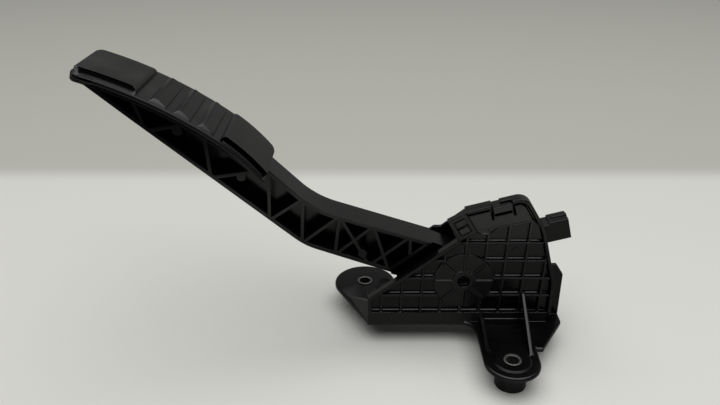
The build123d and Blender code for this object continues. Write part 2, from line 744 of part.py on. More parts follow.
# Pad: curved plate with raised tread at both ends, three cross bars and four pegs
with BuildPart() as pedal_pad:
    with BuildSketch(side(PAD_Y + PAD_W / 2)):
        add(head_band(ARM_HEAD_R + PAD_SEAT, ARM_HEAD_R + PAD_T, PAD_START, PAD_END))
    extrude(amount=PAD_W)
    toe_edge = side(PAD_Y).from_local_coords(Vector(*head_point(ARM_HEAD_R, PAD_START)))
    corners = pedal_pad.edges().filter_by(GeomType.LINE).filter_by(Axis.Y, reverse=True)
    fillet(corners.sort_by_distance(toe_edge)[:2], PAD_CORNER_R)
    with BuildSketch(side(PAD_Y + PAD_W / 2 - PAD_INSET)):
        for start, end in (TREAD_TOE, TREAD_HEEL):
            add(head_band(ARM_HEAD_R + PAD_T / 2, ARM_HEAD_R + PAD_T + TREAD_T, start, end))
        for angle in BAR_ANGLES:
            with Locations(Location(head_point(ARM_HEAD_R + PAD_T / 2, angle), angle - 90)):
                with Locations((0, (PAD_T / 2 + TREAD_T) / 2)):
                    RectangleRounded(BAR_W, PAD_T / 2 + TREAD_T, BAR_R)
    extrude(amount=PAD_W - 2 * PAD_INSET)
    crests = pedal_pad.edges().filter_by(lambda e: e.geom_type == GeomType.CIRCLE)
    fillet(crests.filter_by(lambda e: e.radius > ARM_HEAD_R + PAD_T + TREAD_T / 2), TREAD_R)
    for angle in PEG_ANGLES:
        foot = head_point(ARM_HEAD_R + PAD_T / 2, angle)
        with BuildSketch(Plane(origin=(PIVOT_X + foot[0], PAD_Y, PIVOT_Z + foot[1]), x_dir=(0, 1, 0),
                               z_dir=(-cos(radians(angle)), 0, -sin(radians(angle))))):
            with Locations((-PEG_SPREAD, 0), (PEG_SPREAD, 0)):
                Circle(PEG_R)
        extrude(amount=PAD_T / 2 + PEG_L)
pedal_pad.part.label = "pedal_pad"
export_step(pedal_pad.part, "parts/pedal_pad.step")

# Steel shaft, fixed in the arm
with BuildPart() as pivot_shaft:
    reach = SIDE_GAP + BUSH_FLANGE_T + BUSH_L - SHAFT_SHORT
    with BuildSketch(side(ARM_FAR + reach)):
        Circle(SHAFT_R)
    extrude(amount=ARM_W + 2 * reach)
pivot_shaft.part.label = "pivot_shaft"
export_step(pivot_shaft.part, "parts/pivot_shaft.step")

# Flanged bushes in the two walls
for name, foot, way in (("near_bush", ARM_NEAR - SIDE_GAP, 1), ("far_bush", ARM_FAR + SIDE_GAP, -1)):
    with BuildPart() as bush:
        with BuildSketch(side(foot)):
            Circle(BUSH_FLANGE_R)
        extrude(amount=way * BUSH_FLANGE_T)
        with BuildSketch(side(foot - way * BUSH_FLANGE_T)):
            Circle(BUSH_R)
        extrude(amount=way * BUSH_L)
        with BuildSketch(side(foot)):
            Circle(SHAFT_R + RUN_GAP)
        extrude(amount=way * (BUSH_FLANGE_T + BUSH_L), mode=Mode.SUBTRACT)
    bush.part.label = name
    export_step(bush.part, f"parts/{name}.step")

# Steel bushes of the mounting ears
for name, bolt in (("front", FRONT_BOLT), ("left", LEFT_BOLT), ("right", RIGHT_BOLT)):
    with BuildPart() as mount_bush:
        with BuildSketch(Plane.XY):
            with Locations(bolt):
                Circle(MOUNT_BUSH_R)
                Circle(BOLT_R, mode=Mode.SUBTRACT)
        extrude(amount=MOUNT_BUSH_L)
    mount_bush.part.label = f"mount_bush_{name}"
    export_step(mount_bush.part, f"parts/mount_bush_{name}.step")


def spring_plane(height):
    """Plane square to the tilted spring axis, at a height along it."""
    along, up = turned(SPRING_U, height)
    lift = turned(0, 1)
    return Plane(origin=(PIVOT_X + along, ARM_Y, PIVOT_Z + up), x_dir=(0, 1, 0),
                 z_dir=(lift[0], 0, lift[1]))


# Carrier of the springs on the tail, and their seat under the roof
SPRING_LOW = TAIL_TOP + CARRIER_T
SPRING_HIGH = ROOF_W - COVER_T - SEAT_T
with BuildPart() as spring_carrier:
    with BuildSketch(spring_plane(TAIL_TOP)):
        Circle(CARRIER_R)
    extrude(amount=CARRIER_T)
    with BuildSketch(spring_plane(SPRING_LOW)):
        Circle(CARRIER_PEG_R)
    extrude(amount=CARRIER_PEG_L)
spring_carrier.part.label = "spring_carrier"
export_step(spring_carrier.part, "parts/spring_carrier.step")

with BuildPart() as spring_seat:
    with BuildSketch(spring_plane(SPRING_HIGH)):
        Circle(CARRIER_R)
    extrude(amount=SEAT_T)
    with BuildSketch(spring_plane(SPRING_HIGH)):
        Circle(CARRIER_PEG_R)
    extrude(amount=-CARRIER_PEG_L)
spring_seat.part.label = "spring_seat"
export_step(spring_seat.part, "parts/spring_seat.step")

# Two coil springs, one inside the other
for name, mean_r, wire_r, pitch in (("outer_spring", OUTER_MEAN_R, OUTER_WIRE_R, OUTER_PITCH),
                                    ("inner_spring", INNER_MEAN_R, INNER_WIRE_R, INNER_PITCH)):
    with BuildPart() as spring:
        foot = spring_plane(SPRING_LOW + SPRING_GAP + wire_r)
        rise = SPRING_HIGH - SPRING_LOW - 2 * (SPRING_GAP + wire_r)
        with BuildLine():
            coil = Helix(pitch, rise, mean_r, center=foot.origin, direction=foot.z_dir)
        with BuildSketch(Plane(origin=coil @ 0, z_dir=coil % 0)):
            Circle(wire_r)
        sweep(path=coil, is_frenet=True)
    spring.part.label = name
    export_step(spring.part, f"parts/{name}.step")

# Friction shoe on the end of the tail
with BuildPart() as friction_shoe:
    with BuildSketch(tilted(ARM_Y + SHOE_W / 2)):
        Circle(TRACK_R - SHOE_GAP)
        Circle(TAIL_END, mode=Mode.SUBTRACT)
        add(block(TAIL_END / 2, TAIL_END * 2, TAIL_TOP - TAIL_T, SHOE_TOP), mode=Mode.INTERSECT)
    extrude(amount=SHOE_W)
friction_shoe.part.label = "friction_shoe"
export_step(friction_shoe.part, "parts/friction_shoe.step")

# Rubber stops with stems in their posts
for name, station, top in STOPS:
    with BuildPart() as stop:
        with BuildSketch(Plane.XY.offset(top - STOP_L)):
            with Locations((PIVOT_X + station, ARM_Y)):
                Circle(STOP_R)
        extrude(amount=STOP_L)
        fillet(stop.edges().sort_by(Axis.Z)[-1], STOP_ROUND)
        with BuildSketch(Plane.XY.offset(top - STOP_L)):
            with Locations((PIVOT_X + station, ARM_Y)):
                Circle(STOP_STEM_R)
        extrude(amount=-STOP_STEM_L)
    stop.part.label = name
    export_step(stop.part, f"parts/{name}.step")

# Sensor board behind the ribbed wall
BOARD_BACK = WALL_BACK + BOARD_GAP + BOARD_T
PIN_ROW = [PLUG_W + (i - (PINS - 1) / 2) * PIN_PITCH for i in range(PINS)]
with BuildPart() as sensor_board:
    with BuildSketch(tilted(BOARD_BACK)):
        Circle(BOARD_RING_R)
        add(block(0, BOARD_END, BOARD_LOW, BOARD_HIGH))
        Circle(BOARD_HOLE_R, mode=Mode.SUBTRACT)
        with Locations(*STAKES):
            Circle(STAKE_R, mode=Mode.SUBTRACT)
        with Locations(*[(PIN_U + PIN / 2, row) for row in PIN_ROW]):
            Rectangle(PIN_HOLE, PIN_HOLE, mode=Mode.SUBTRACT)
    extrude(amount=BOARD_T)
sensor_board.part.label = "sensor_board"
export_step(sensor_board.part, "parts/sensor_board.step")

for name, place in zip(("sensor_chip_a", "sensor_chip_b"), CHIP_AT):
    with BuildPart() as chip:
        with BuildSketch(tilted(BOARD_BACK)):
            with Locations(place):
                Rectangle(CHIP[0], CHIP[1])
        extrude(amount=-CHIP[2])
    chip.part.label = name
    export_step(chip.part, f"parts/{name}.step")

# Metal rotor on the arm's hub, read by the board
with BuildPart() as sensor_rotor:
    with BuildSketch(side(ARM_NEAR)):
        Circle(ROTOR_R)
        Circle(ROTOR_HOLE_R, mode=Mode.SUBTRACT)
    extrude(amount=ROTOR_T)
sensor_rotor.part.label = "sensor_rotor"
export_step(sensor_rotor.part, "parts/sensor_rotor.step")

# Connector shroud with a low neck and a key rib, open at the outer end
with BuildPart() as connector:
    with BuildSketch(tilted(PLUG_Y + PLUG_DEPTH)):
        add(block(PLUG_U, PLUG_END, PLUG_W - PLUG_H / 2, PLUG_W + PLUG_H / 2))
    extrude(amount=PLUG_DEPTH)
    with BuildSketch(tilted(PLUG_Y + PLUG_DEPTH - PLUG_T)):
        add(block(PLUG_END - CAVITY_L, PLUG_END, PLUG_W - PLUG_H / 2 + PLUG_T,
                  PLUG_W + PLUG_H / 2 - PLUG_T))
    extrude(amount=PLUG_DEPTH - 2 * PLUG_T, mode=Mode.SUBTRACT)
    with BuildSketch(tilted(PLUG_Y + PLUG_DEPTH)):
        add(block(PLUG_U, PLUG_NECK, PLUG_W + PLUG_H / 2 - NECK_DROP, PLUG_W + PLUG_H / 2))
    extrude(amount=PLUG_DEPTH, mode=Mode.SUBTRACT)
    with BuildSketch(tilted(PLUG_Y + (PLUG_DEPTH + KEY_W) / 2)):
        add(block(PLUG_END - KEY_L, PLUG_END, PLUG_W, PLUG_W + PLUG_H / 2 + KEY_H))
        add(block(PLUG_END - KEY_L, PLUG_END, PLUG_W, PLUG_W + PLUG_H / 2 - PLUG_T), mode=Mode.SUBTRACT)
    extrude(amount=KEY_W)
    with BuildSketch(tilted(PIN_Y + PIN / 2)):
        for row in PIN_ROW:
            add(block(PLUG_U, PLUG_END, row - PIN / 2, row + PIN / 2))
    extrude(amount=PIN, mode=Mode.SUBTRACT)
connector.part.label = "connector"
export_step(connector.part, "parts/connector.step")

# Six bent terminals, soldered through the board and standing in the shroud
for number, row in enumerate(PIN_ROW, start=1):
    with BuildPart() as terminal:
        with BuildSketch(tilted(PIN_Y + PIN / 2)):
            add(block(PIN_U, PIN_END, row - PIN / 2, row + PIN / 2))
        extrude(amount=PIN)
        with BuildSketch(tilted(PIN_Y)):
            add(block(PIN_U, PIN_U + PIN, row - PIN / 2, row + PIN / 2))
        extrude(amount=PIN_Y - BOARD_BACK + BOARD_T)
    terminal.part.label = f"terminal_{number}"
    export_step(terminal.part, f"parts/terminal_{number}.step")
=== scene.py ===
"""Accelerator pedal module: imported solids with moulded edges, a new pad, springs, bushes and finishes."""
import logging
import math
from collections.abc import Callable, Iterator
from contextlib import contextmanager
from dataclasses import dataclass
from enum import Enum

import bpy
from bpy import ops
from mathutils import Matrix, Vector


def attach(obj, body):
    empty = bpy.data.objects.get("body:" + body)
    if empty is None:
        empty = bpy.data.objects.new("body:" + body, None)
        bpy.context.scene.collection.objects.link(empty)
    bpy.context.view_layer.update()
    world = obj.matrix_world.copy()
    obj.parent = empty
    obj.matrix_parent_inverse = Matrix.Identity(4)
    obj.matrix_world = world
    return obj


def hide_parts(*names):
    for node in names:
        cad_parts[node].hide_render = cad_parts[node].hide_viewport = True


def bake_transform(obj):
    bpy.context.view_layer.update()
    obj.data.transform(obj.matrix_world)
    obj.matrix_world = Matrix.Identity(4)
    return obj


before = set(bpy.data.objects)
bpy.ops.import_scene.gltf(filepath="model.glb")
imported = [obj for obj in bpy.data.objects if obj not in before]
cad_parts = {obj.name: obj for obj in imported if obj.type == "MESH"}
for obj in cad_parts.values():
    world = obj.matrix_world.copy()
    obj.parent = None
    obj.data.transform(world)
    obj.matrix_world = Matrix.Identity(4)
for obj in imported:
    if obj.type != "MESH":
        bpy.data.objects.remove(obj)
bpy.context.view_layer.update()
LOG = logging.getLogger("accelerator_pedal")
Material = bpy.types.Material
Colour = tuple[float, float, float]
Point = tuple[float, float, float]
Pair = tuple[float, float]
Outline = tuple[Pair, ...]
Test = Callable[[Vector, Vector], bool]
# Frames at the pivot: upright, and leaning by 15 degrees.
PIVOT = Matrix.Translation((-0.024, 0.0, 0.044))
SLOPED = PIVOT @ Matrix.Rotation(-math.radians(15.0), 4, "Y")
# Metres within which a point is on a plane, and share from which a direction is along an axis.
SLACK = 1e-5
MOSTLY = 0.9
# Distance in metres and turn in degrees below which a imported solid's triangles merge.
MERGE = 0.000002
FLAT = 0.6
# Turn in degrees from which an edge is shaded sharp.
SHARP = 35.0


class Body(Enum):
    """Bodies of the pedal that pieces ride on."""

    BASE = "base"
    PEDAL = "pedal"


class Slot(Enum):
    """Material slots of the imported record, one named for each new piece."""

    HOUSING = "housing_plastic"
    ARM = "arm_plastic"
    PAD = "pad_rubber"
    BUSH_STEEL = "bush_steel"
    SPRING = "spring_steel"
    STOP = "stop_rubber"
    CONNECTOR = "connector_plastic"


@dataclass(frozen=True)
class Wire:
    """A value on its way through a material, so that shader maths reads as arithmetic."""

    graph: "Graph"
    socket: bpy.types.NodeSocket

    def maths(self, operation: str, *values: "Wire | float") -> "Wire":
        """Result of a Math node on wires or numbers."""
        node = self.graph.node("ShaderNodeMath", {"operation": operation}, dict(enumerate(values)))
        return Wire(self.graph, node.outputs[0])

    def __add__(self, other: "Wire | float") -> "Wire":
        """Sum of two values."""
        return self.maths("ADD", self, other)

    __radd__ = __add__

    def __sub__(self, other: "Wire | float") -> "Wire":
        """Difference of two values."""
        return self.maths("SUBTRACT", self, other)

    def __rsub__(self, other: float) -> "Wire":
        """Difference with a number in front."""
        return self.maths("SUBTRACT", other, self)

    def __mul__(self, other: "Wire | float") -> "Wire":
        """Product of two values."""
        return self.maths("MULTIPLY", self, other)

    __rmul__ = __mul__

    def ramp(self, low: float, high: float) -> "Wire":
        """Smooth step from 0 at the low value to 1 at the high one."""
        graph, sockets = self.graph, {"Value": self, "From Min": low, "From Max": high}
        return graph.wire(graph.node("ShaderNodeMapRange", {"interpolation_type": "SMOOTHSTEP"}, sockets))


@dataclass
class Graph:
    """Node tree of a material or of the room, round its shader."""

    owner: Material | bpy.types.World
    end: str = "Principled BSDF"

    def __post_init__(self) -> None:
        """Find the shader and add the coordinates."""
        self.owner.use_nodes = True
        self.tree = self.owner.node_tree
        self.shader = self.tree.nodes[self.end]
        self.place = self.node("ShaderNodeTexCoord")

    @classmethod
    def finish(cls, name: str) -> "Graph":
        """Start a new material."""
        return cls(bpy.data.materials.new(name))

    def node(self, kind: str, settings: dict[str, object] | None = None,
             sockets: dict[str | int, object] | None = None) -> bpy.types.Node:
        """Add a node.

        Args:
            kind: Type of the node.
            settings: Properties that are set before its sockets.
            sockets: Values or wires of its inputs, by name or number.

        Returns:
            The new node.
        """
        made = self.tree.nodes.new(kind)
        for key, value in (settings or {}).items():
            setattr(made, key, value)
        self.feed(made, sockets or {})
        return made

    def feed(self, target: bpy.types.Node, sockets: dict[str | int, object]) -> None:
        """Set or link the inputs of a node.

        Args:
            target: The node.
            sockets: Values or wires by input name or number.
        """
        for key, value in sockets.items():
            if isinstance(value, Wire):
                self.tree.links.new(value.socket, target.inputs[key])
            else:
                target.inputs[key].default_value = value

    def wire(self, source: bpy.types.Node, output: str | int = 0) -> Wire:
        """An output of a node as a wire."""
        return Wire(self, source.outputs[output])

    def stretched(self, scale: Point) -> Wire:
        """The piece's coordinates stretched along its axes."""
        return self.wire(self.node("ShaderNodeMapping", None,
                                   {"Vector": self.wire(self.place, "Object"), "Scale": scale}))

    def noise(self, scale: float, detail: float, along: Wire | None = None) -> Wire:
        """Noise from 0 to 1 over the piece or along other coordinates, by waves to a metre and octaves."""
        sockets = {"Vector": along or self.wire(self.place, "Object"), "Scale": scale, "Detail": detail}
        return self.wire(self.node("ShaderNodeTexNoise", None, sockets), "Fac")

    def part(self, output: str, axis: str) -> Wire:
        """One part of the piece's coordinates, or of its surface's direction."""
        split = self.node("ShaderNodeSeparateXYZ", None, {"Vector": self.wire(self.place, output)})
        return self.wire(split, axis)

    def rounded(self, radius: float) -> Wire:
        """Direction of the surface with its edges softened over a radius."""
        return self.wire(self.node("ShaderNodeBevel", {"samples": 8}, {"Radius": radius}))

    def mix(self, factor: Wire, first: Colour | Wire, second: Colour | Wire) -> Wire:
        """Blend of two colours by the share of the second."""
        low, high = (end if isinstance(end, Wire) else (*end, 1.0) for end in (first, second))
        return self.wire(self.node("ShaderNodeMix", {"data_type": "RGBA"}, {0: factor, 6: low, 7: high}), 2)

    def bump(self, height: Wire, depth: float, strength: float, rounding: float = 0.0003) -> Wire:
        """Normal of a surface with a relief from 0 to its depth, a share of which shows, and soft edges."""
        ends = {"Height": height, "Distance": depth, "Strength": strength, "Normal": self.rounded(rounding)}
        return self.wire(self.node("ShaderNodeBump", None, ends))


@dataclass(frozen=True)
class MouldedPlastic:
    """Glass-filled plastic with an eroded grain, paler where dust settles, and with painted light on proud
    faces that face the front.
    """

    name: str
    colour: Colour = (0.0013, 0.0013, 0.0014)
    dusty: Colour = (0.0065, 0.0065, 0.0062)
    # Colour of the painted light that makes proud faces facing the front paler.
    painted_light_colour: Colour = (0.017, 0.017, 0.0165)
    roughness: float = 0.16
    spread: float = 0.08
    grain: float = 2600.0
    depth: float = 0.00003
    gloss: float = 0.45
    rounding: float = 0.0006
    # Painted light limits: faces deeper than the depth get none, and below the height it weakens over the
    # fade.
    painted_light_depth: float = -1.0
    painted_light_height: float = 9.0
    painted_light_fade: float = 0.008
    step: float = 0.001
    clouds: float = 55.0
    fibres: float = 420.0

    def material(self) -> Material:
        """Make the material.

        Returns:
            The new material.
        """
        graph = Graph.finish(self.name)
        broad = graph.noise(self.clouds, 4.0)
        fine = graph.noise(self.grain, 2.0)
        fibre = graph.noise(self.fibres, 3.0, graph.stretched((1.0, 1.0, 6.0)))
        upward = graph.part("Normal", "Z").ramp(0.35, 0.95)
        # Painted light: proud faces facing the front are painted paler, more so towards the top. Sunk pocket
        # floors get none and stay dark.
        unlit_recess = graph.part("Object", "Y").ramp(self.painted_light_depth, self.painted_light_depth + self.step)
        near = graph.part("Normal", "Y").ramp(-0.8, -0.97) * (1 - unlit_recess)
        painted_light = near * (0.4 + 0.6 * graph.part("Object", "Z").ramp(self.painted_light_height - self.painted_light_fade, self.painted_light_height))
        dust = upward * broad.ramp(0.3, 0.75) * 0.4
        scuff = fibre.ramp(0.66, 0.72) * broad.ramp(0.5, 0.62) * 0.35
        graph.feed(graph.shader, {
            "Base Color": graph.mix(painted_light, graph.mix(dust + scuff, self.colour, self.dusty), self.painted_light_colour),
            "Roughness": self.roughness + self.spread * (broad - 0.5) + 0.08 * fine + 0.08 * scuff,
            "Normal": graph.bump(0.7 * fine + 0.3 * fibre, self.depth, 0.6, self.rounding),
            "Specular IOR Level": self.gloss})
        return graph.owner


@dataclass(frozen=True)
class PadSurface:
    """Black pad skin: satin top, and stippled floors in the side pockets of the treads."""

    name: str
    colour: Colour = (0.0012, 0.0012, 0.0013)
    worn: Colour = (0.016, 0.016, 0.0156)
    mark: str = "grip"
    roughness: float = 0.26
    gloss: float = 0.5
    rounding: float = 0.0006
    clouds: float = 48.0
    grain: float = 3000.0
    dots: float = 900.0
    depth: float = 0.00012

    def material(self) -> Material:
        """Make the material.

        Returns:
            The new material.
        """
        graph = Graph.finish(self.name)
        broad = graph.noise(self.clouds, 4.0)
        fine = graph.noise(self.grain, 2.0)
        cells = graph.node("ShaderNodeTexVoronoi", None,
                           {"Vector": graph.wire(graph.place, "Object"), "Scale": self.dots})
        stipple = graph.wire(cells, "Distance")
        grip = graph.wire(graph.node("ShaderNodeAttribute", {"attribute_name": self.mark}), "Fac")
        tread = graph.part("Normal", "Z").ramp(0.55, 0.9) * (1 - grip)
        relief = 0.35 * fine * (1 - grip) + stipple * grip
        graph.feed(graph.shader, {
            "Base Color": graph.mix(tread * broad.ramp(0.35, 0.8), self.colour, self.worn),
            "Roughness": self.roughness + 0.14 * (broad - 0.5) + 0.1 * fine + 0.15 * grip,
            "Normal": graph.bump(relief, self.depth, 0.7, self.rounding),
            "Specular IOR Level": self.gloss})
        return graph.owner


@dataclass(frozen=True)
class BareMetal:
    """Metal with fine drawing marks and a little tarnish."""

    name: str
    colour: Colour
    tarnish: Colour
    roughness: float = 0.28
    marks: Point = (1.0, 1.0, 14.0)
    drawing: float = 900.0
    spots: float = 260.0
    depth: float = 0.00002

    def material(self) -> Material:
        """Make the material.

        Returns:
            The new material.
        """
        graph = Graph.finish(self.name)
        drawn = graph.noise(self.drawing, 4.0, graph.stretched(self.marks))
        stain = graph.noise(self.spots, 5.0).ramp(0.5, 0.72)
        graph.feed(graph.shader, {
            "Base Color": graph.mix(stain * 0.7, self.colour, self.tarnish),
            "Metallic": 1.0 - 0.25 * stain,
            "Roughness": self.roughness + 0.18 * drawn + 0.15 * stain,
            "Normal": graph.bump(drawn, self.depth, 0.5)})
        return graph.owner


@dataclass(frozen=True)
class SoftRubber:
    """Dull rubber with a bloom."""

    name: str
    colour: Colour = (0.014, 0.014, 0.014)
    bloom: Colour = (0.045, 0.044, 0.042)
    clouds: float = 300.0
    grain: float = 4000.0
    depth: float = 0.00005

    def material(self) -> Material:
        """Make the material.

        Returns:
            The new material.
        """
        graph = Graph.finish(self.name)
        broad = graph.noise(self.clouds, 4.0)
        fine = graph.noise(self.grain, 2.0)
        graph.feed(graph.shader, {
            "Base Color": graph.mix(broad.ramp(0.4, 0.8), self.colour, self.bloom),
            "Roughness": 0.72 + 0.15 * (fine - 0.5),
            "Normal": graph.bump(fine, self.depth, 0.5)})
        return graph.owner


@dataclass(frozen=True)
class BoardMask:
    """Green solder mask over copper tracks."""

    name: str
    mask: Colour = (0.012, 0.095, 0.040)
    track: Colour = (0.030, 0.190, 0.070)
    tracks: float = 160.0
    grain: float = 1800.0
    depth: float = 0.00004

    def material(self) -> Material:
        """Make the material.

        Returns:
            The new material.
        """
        graph = Graph.finish(self.name)
        cells = graph.node("ShaderNodeTexBrick", None, {
            "Vector": graph.stretched((1.0, 0.0, 1.0)), "Scale": self.tracks, "Mortar Size": 0.06,
            "Mortar Smooth": 0.1, "Color1": (0, 0, 0, 1), "Color2": (0, 0, 0, 1), "Mortar": (1, 1, 1, 1)})
        lines = graph.wire(cells, "Fac")
        fine = graph.noise(self.grain, 2.0)
        graph.feed(graph.shader, {
            "Base Color": graph.mix(lines, self.mask, self.track),
            "Roughness": 0.3 + 0.12 * fine - 0.08 * lines,
            "Normal": graph.bump(lines, self.depth, 0.6)})
        return graph.owner


@dataclass(frozen=True)
class PaleFloor:
    """Plain pale table top with a faint sheen."""

    name: str
    colour: Colour = (0.77, 0.767, 0.73)
    shade: Colour = (0.745, 0.742, 0.705)
    beyond: Colour = (0.53, 0.53, 0.475)
    unlit: Colour = (0.03, 0.03, 0.03)
    # Limits along Y: where the floor turns to the darker back tone, where the painted shade in reflections by
    # the pedal ends, and where the painted dark reflection past the front edge begins. Then the share left
    # bright in that painted shade.
    wall: Pair = (0.285, 0.325)
    open: Pair = (-0.06, -0.14)
    front: Pair = (-0.175, -0.25)
    painted_shade_share: float = 0.25
    clouds: float = 2.0

    def material(self) -> Material:
        """Make the material, darker at the back, with painted shade in reflections by the pedal and a painted
        dark reflection past the front edge.

        Returns:
            The new material.
        """
        graph = Graph.finish(self.name)
        cloud = graph.noise(self.clouds, 3.0)
        along = graph.part("Object", "Y")
        top = graph.mix(along.ramp(*self.wall), graph.mix(cloud, self.colour, self.shade), self.beyond)
        glossy = graph.wire(graph.node("ShaderNodeLightPath"), "Is Glossy Ray")
        # Painted shade and painted dark reflection: glossy rays see the floor dark by the pedal and past the
        # front edge.
        reflected_light_share = (self.painted_shade_share + (1 - self.painted_shade_share) * along.ramp(*self.open)) * (1 - along.ramp(*self.front))
        graph.feed(graph.shader, {
            "Base Color": graph.mix(glossy * (1 - reflected_light_share), top, self.unlit),
            "Roughness": 0.32 + 0.06 * cloud})
        return graph.owner


@dataclass
class Workpiece:
    """A mesh that is being shaped by hand with Blender's operators."""

    made: bpy.types.Object
    name: str

    def __post_init__(self) -> None:
        """Name the object and its mesh."""
        self.made.name = self.name
        self.made.data.name = self.name

    @classmethod
    def primitive(cls, name: str, operator: Callable[..., set[str]], **settings: object) -> "Workpiece":
        """A mesh that one of Blender's operators adds."""
        operator(**settings)
        return cls(bpy.context.object, name)

    @classmethod
    def block(cls, name: str, low: Point, high: Point) -> "Workpiece":
        """A box between two corners.

        Args:
            name: Name of the piece.
            low: Lowest corner in metres.
            high: Highest corner in metres.

        Returns:
            The new workpiece.
        """
        middle = [(a + b) / 2 for a, b in zip(low, high)]
        piece = cls.primitive(name, ops.mesh.primitive_cube_add, size=1.0, location=middle)
        piece.made.scale = [b - a for a, b in zip(low, high)]
        piece.settle()
        return piece

    @classmethod
    def round_bar(cls, name: str, foot: Point, radius: float, length: float, sides: int) -> "Workpiece":
        """An upright cylinder on a point.

        Args:
            name: Name of the piece.
            foot: Centre of its lower end.
            radius: Its radius.
            length: Its height.
            sides: Number of its sides.

        Returns:
            The new workpiece.
        """
        piece = cls.primitive(name, ops.mesh.primitive_cylinder_add, vertices=sides, radius=radius,
                              depth=length, location=(foot[0], foot[1], foot[2] + length / 2))
        piece.settle()
        return piece

    @classmethod
    def prism(cls, name: str, outline: Outline, near: float, far: float) -> "Workpiece":
        """A plate between two depths, with an outline drawn on the near side.

        Args:
            name: Name of the piece.
            outline: Corners of the outline along X and Z.
            near: Depth of its near face.
            far: Depth of its far face.

        Returns:
            The new workpiece.
        """
        piece = cls.primitive(name, ops.mesh.primitive_circle_add, vertices=len(outline), fill_type="NGON")
        for vertex, (along, up) in zip(piece.made.data.vertices, outline):
            vertex.co = (along, near, up)
        with piece.editing(whole=True):
            ops.mesh.extrude_region_move(TRANSFORM_OT_translate={"value": (0, far - near, 0)})
            piece.face_outward()
        return piece

    @classmethod
    def from_node(cls, node: str, name: str) -> "Workpiece":
        """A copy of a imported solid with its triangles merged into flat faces.

        Args:
            node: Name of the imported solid.
            name: Name of the piece.

        Returns:
            The new workpiece.
        """
        made = bpy.data.objects.new(name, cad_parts[node].data.copy())
        bpy.context.scene.collection.objects.link(made)
        piece = cls(made, name)
        with piece.editing(whole=True):
            ops.mesh.remove_doubles(threshold=MERGE)
            ops.mesh.dissolve_limited(angle_limit=math.radians(FLAT))
            ops.mesh.vert_connect_concave()
        return piece

    def activate(self) -> None:
        """Make this the only selected object."""
        ops.object.select_all(action="DESELECT")
        self.made.select_set(True)
        bpy.context.view_layer.objects.active = self.made

    @contextmanager
    def editing(self, whole: bool = False) -> Iterator[None]:
        """Edit mode on this piece for the length of a with block.

        Args:
            whole: Whether all of the mesh is selected first.

        Returns:
            The context, which gives no value.
        """
        self.activate()
        ops.object.mode_set(mode="EDIT")
        if whole:
            ops.mesh.select_all(action="SELECT")
        yield
        ops.object.mode_set(mode="OBJECT")

    @staticmethod
    def face_outward() -> None:
        """Turn every face of the mesh in edit mode to the outside."""
        ops.mesh.select_all(action="SELECT")
        ops.mesh.normals_make_consistent(inside=False)

    def settle(self) -> None:
        """Put the object's place, turn and scale into its mesh."""
        self.activate()
        ops.object.transform_apply(location=True, rotation=True, scale=True)

    def pick(self, faces: Test | None = None, edges: Test | None = None) -> None:
        """Select faces by centre and normal, or edges by middle and direction.

        Args:
            faces: Test of a face's centre and normal.
            edges: Test of an edge's middle and direction.
        """
        mesh = self.made.data
        for group in (mesh.vertices, mesh.edges, mesh.polygons):
            group.foreach_set("select", [False] * len(group))
        bpy.context.tool_settings.mesh_select_mode = (False, edges is not None, faces is not None)
        for face in mesh.polygons if faces else ():
            face.select = faces(face.center, face.normal)
        for edge in mesh.edges if edges else ():
            first, second = (mesh.vertices[index].co for index in edge.vertices)
            edge.select = edges((first + second) / 2, (second - first).normalized())

    def bevel(self, edges: Test, offset: float, segments: int) -> None:
        """Round or chamfer some edges.

        Args:
            edges: Test of an edge's middle and direction.
            offset: Width of the bevel.
            segments: Number of its strips.
        """
        self.pick(edges=edges)
        with self.editing():
            ops.mesh.bevel(offset=offset, segments=segments, affect="EDGES", clamp_overlap=True)

    def crest(self, first: Test, second: Test, offset: float, segments: int) -> None:
        """Round the edges between two kinds of faces.

        Args:
            first: Test of the faces on one side.
            second: Test of the faces on the other side.
            offset: Width of the rounding.
            segments: Number of its strips.
        """
        mesh = self.made.data
        sides: dict[tuple[int, int], set[int]] = {key: set() for key in mesh.edge_keys}
        for face in mesh.polygons:
            for kind, test in enumerate((first, second)):
                if test(face.center, face.normal):
                    for key in face.edge_keys:
                        sides[key].add(kind)
        self.pick(edges=lambda at, way: False)
        for edge in mesh.edges:
            edge.select = len(sides[edge.key]) == 2
        with self.editing():
            ops.mesh.bevel(offset=offset, segments=segments, affect="EDGES", clamp_overlap=False)

    def inset(self, faces: Test, width: float, depth: float) -> None:
        """Inset some faces and sink or raise them.

        Args:
            faces: Test of a face's centre and normal.
            width: Width of the border.
            depth: Rise of the inner face, below zero to sink it.
        """
        self.pick(faces=faces)
        with self.editing():
            ops.mesh.inset(thickness=width, depth=depth, use_even_offset=True)

    def slices(self, stations: list[float]) -> None:
        """Cut the mesh square to its length.

        Args:
            stations: Places of the cuts along X.
        """
        for station in stations:
            with self.editing(whole=True):
                ops.mesh.bisect(plane_co=(station, 0.0, 0.0), plane_no=(1.0, 0.0, 0.0))

    def slope(self, through: Point, outward: Point) -> None:
        """Cut off what lies outward of a plane through a point and close the mesh."""
        with self.editing(whole=True):
            ops.mesh.bisect(plane_co=through, plane_no=outward, clear_outer=True, use_fill=True)

    def modify(self, kind: str, **settings: object) -> None:
        """Add a modifier and apply it.

        Args:
            kind: Type of the modifier.
            settings: Its properties.
        """
        self.activate()
        ops.object.modifier_add(type=kind)
        added = self.made.modifiers[-1]
        for key, value in settings.items():
            setattr(added, key, value)
        ops.object.modifier_apply(modifier=added.name)

    def soften(self, width: float, segments: int = 2, angle: float = 32.0) -> None:
        """Round every edge that turns by more than an angle in degrees."""
        self.modify("BEVEL", width=width, segments=segments, limit_method="ANGLE",
                    angle_limit=math.radians(angle), use_clamp_overlap=False, miter_outer="MITER_ARC")

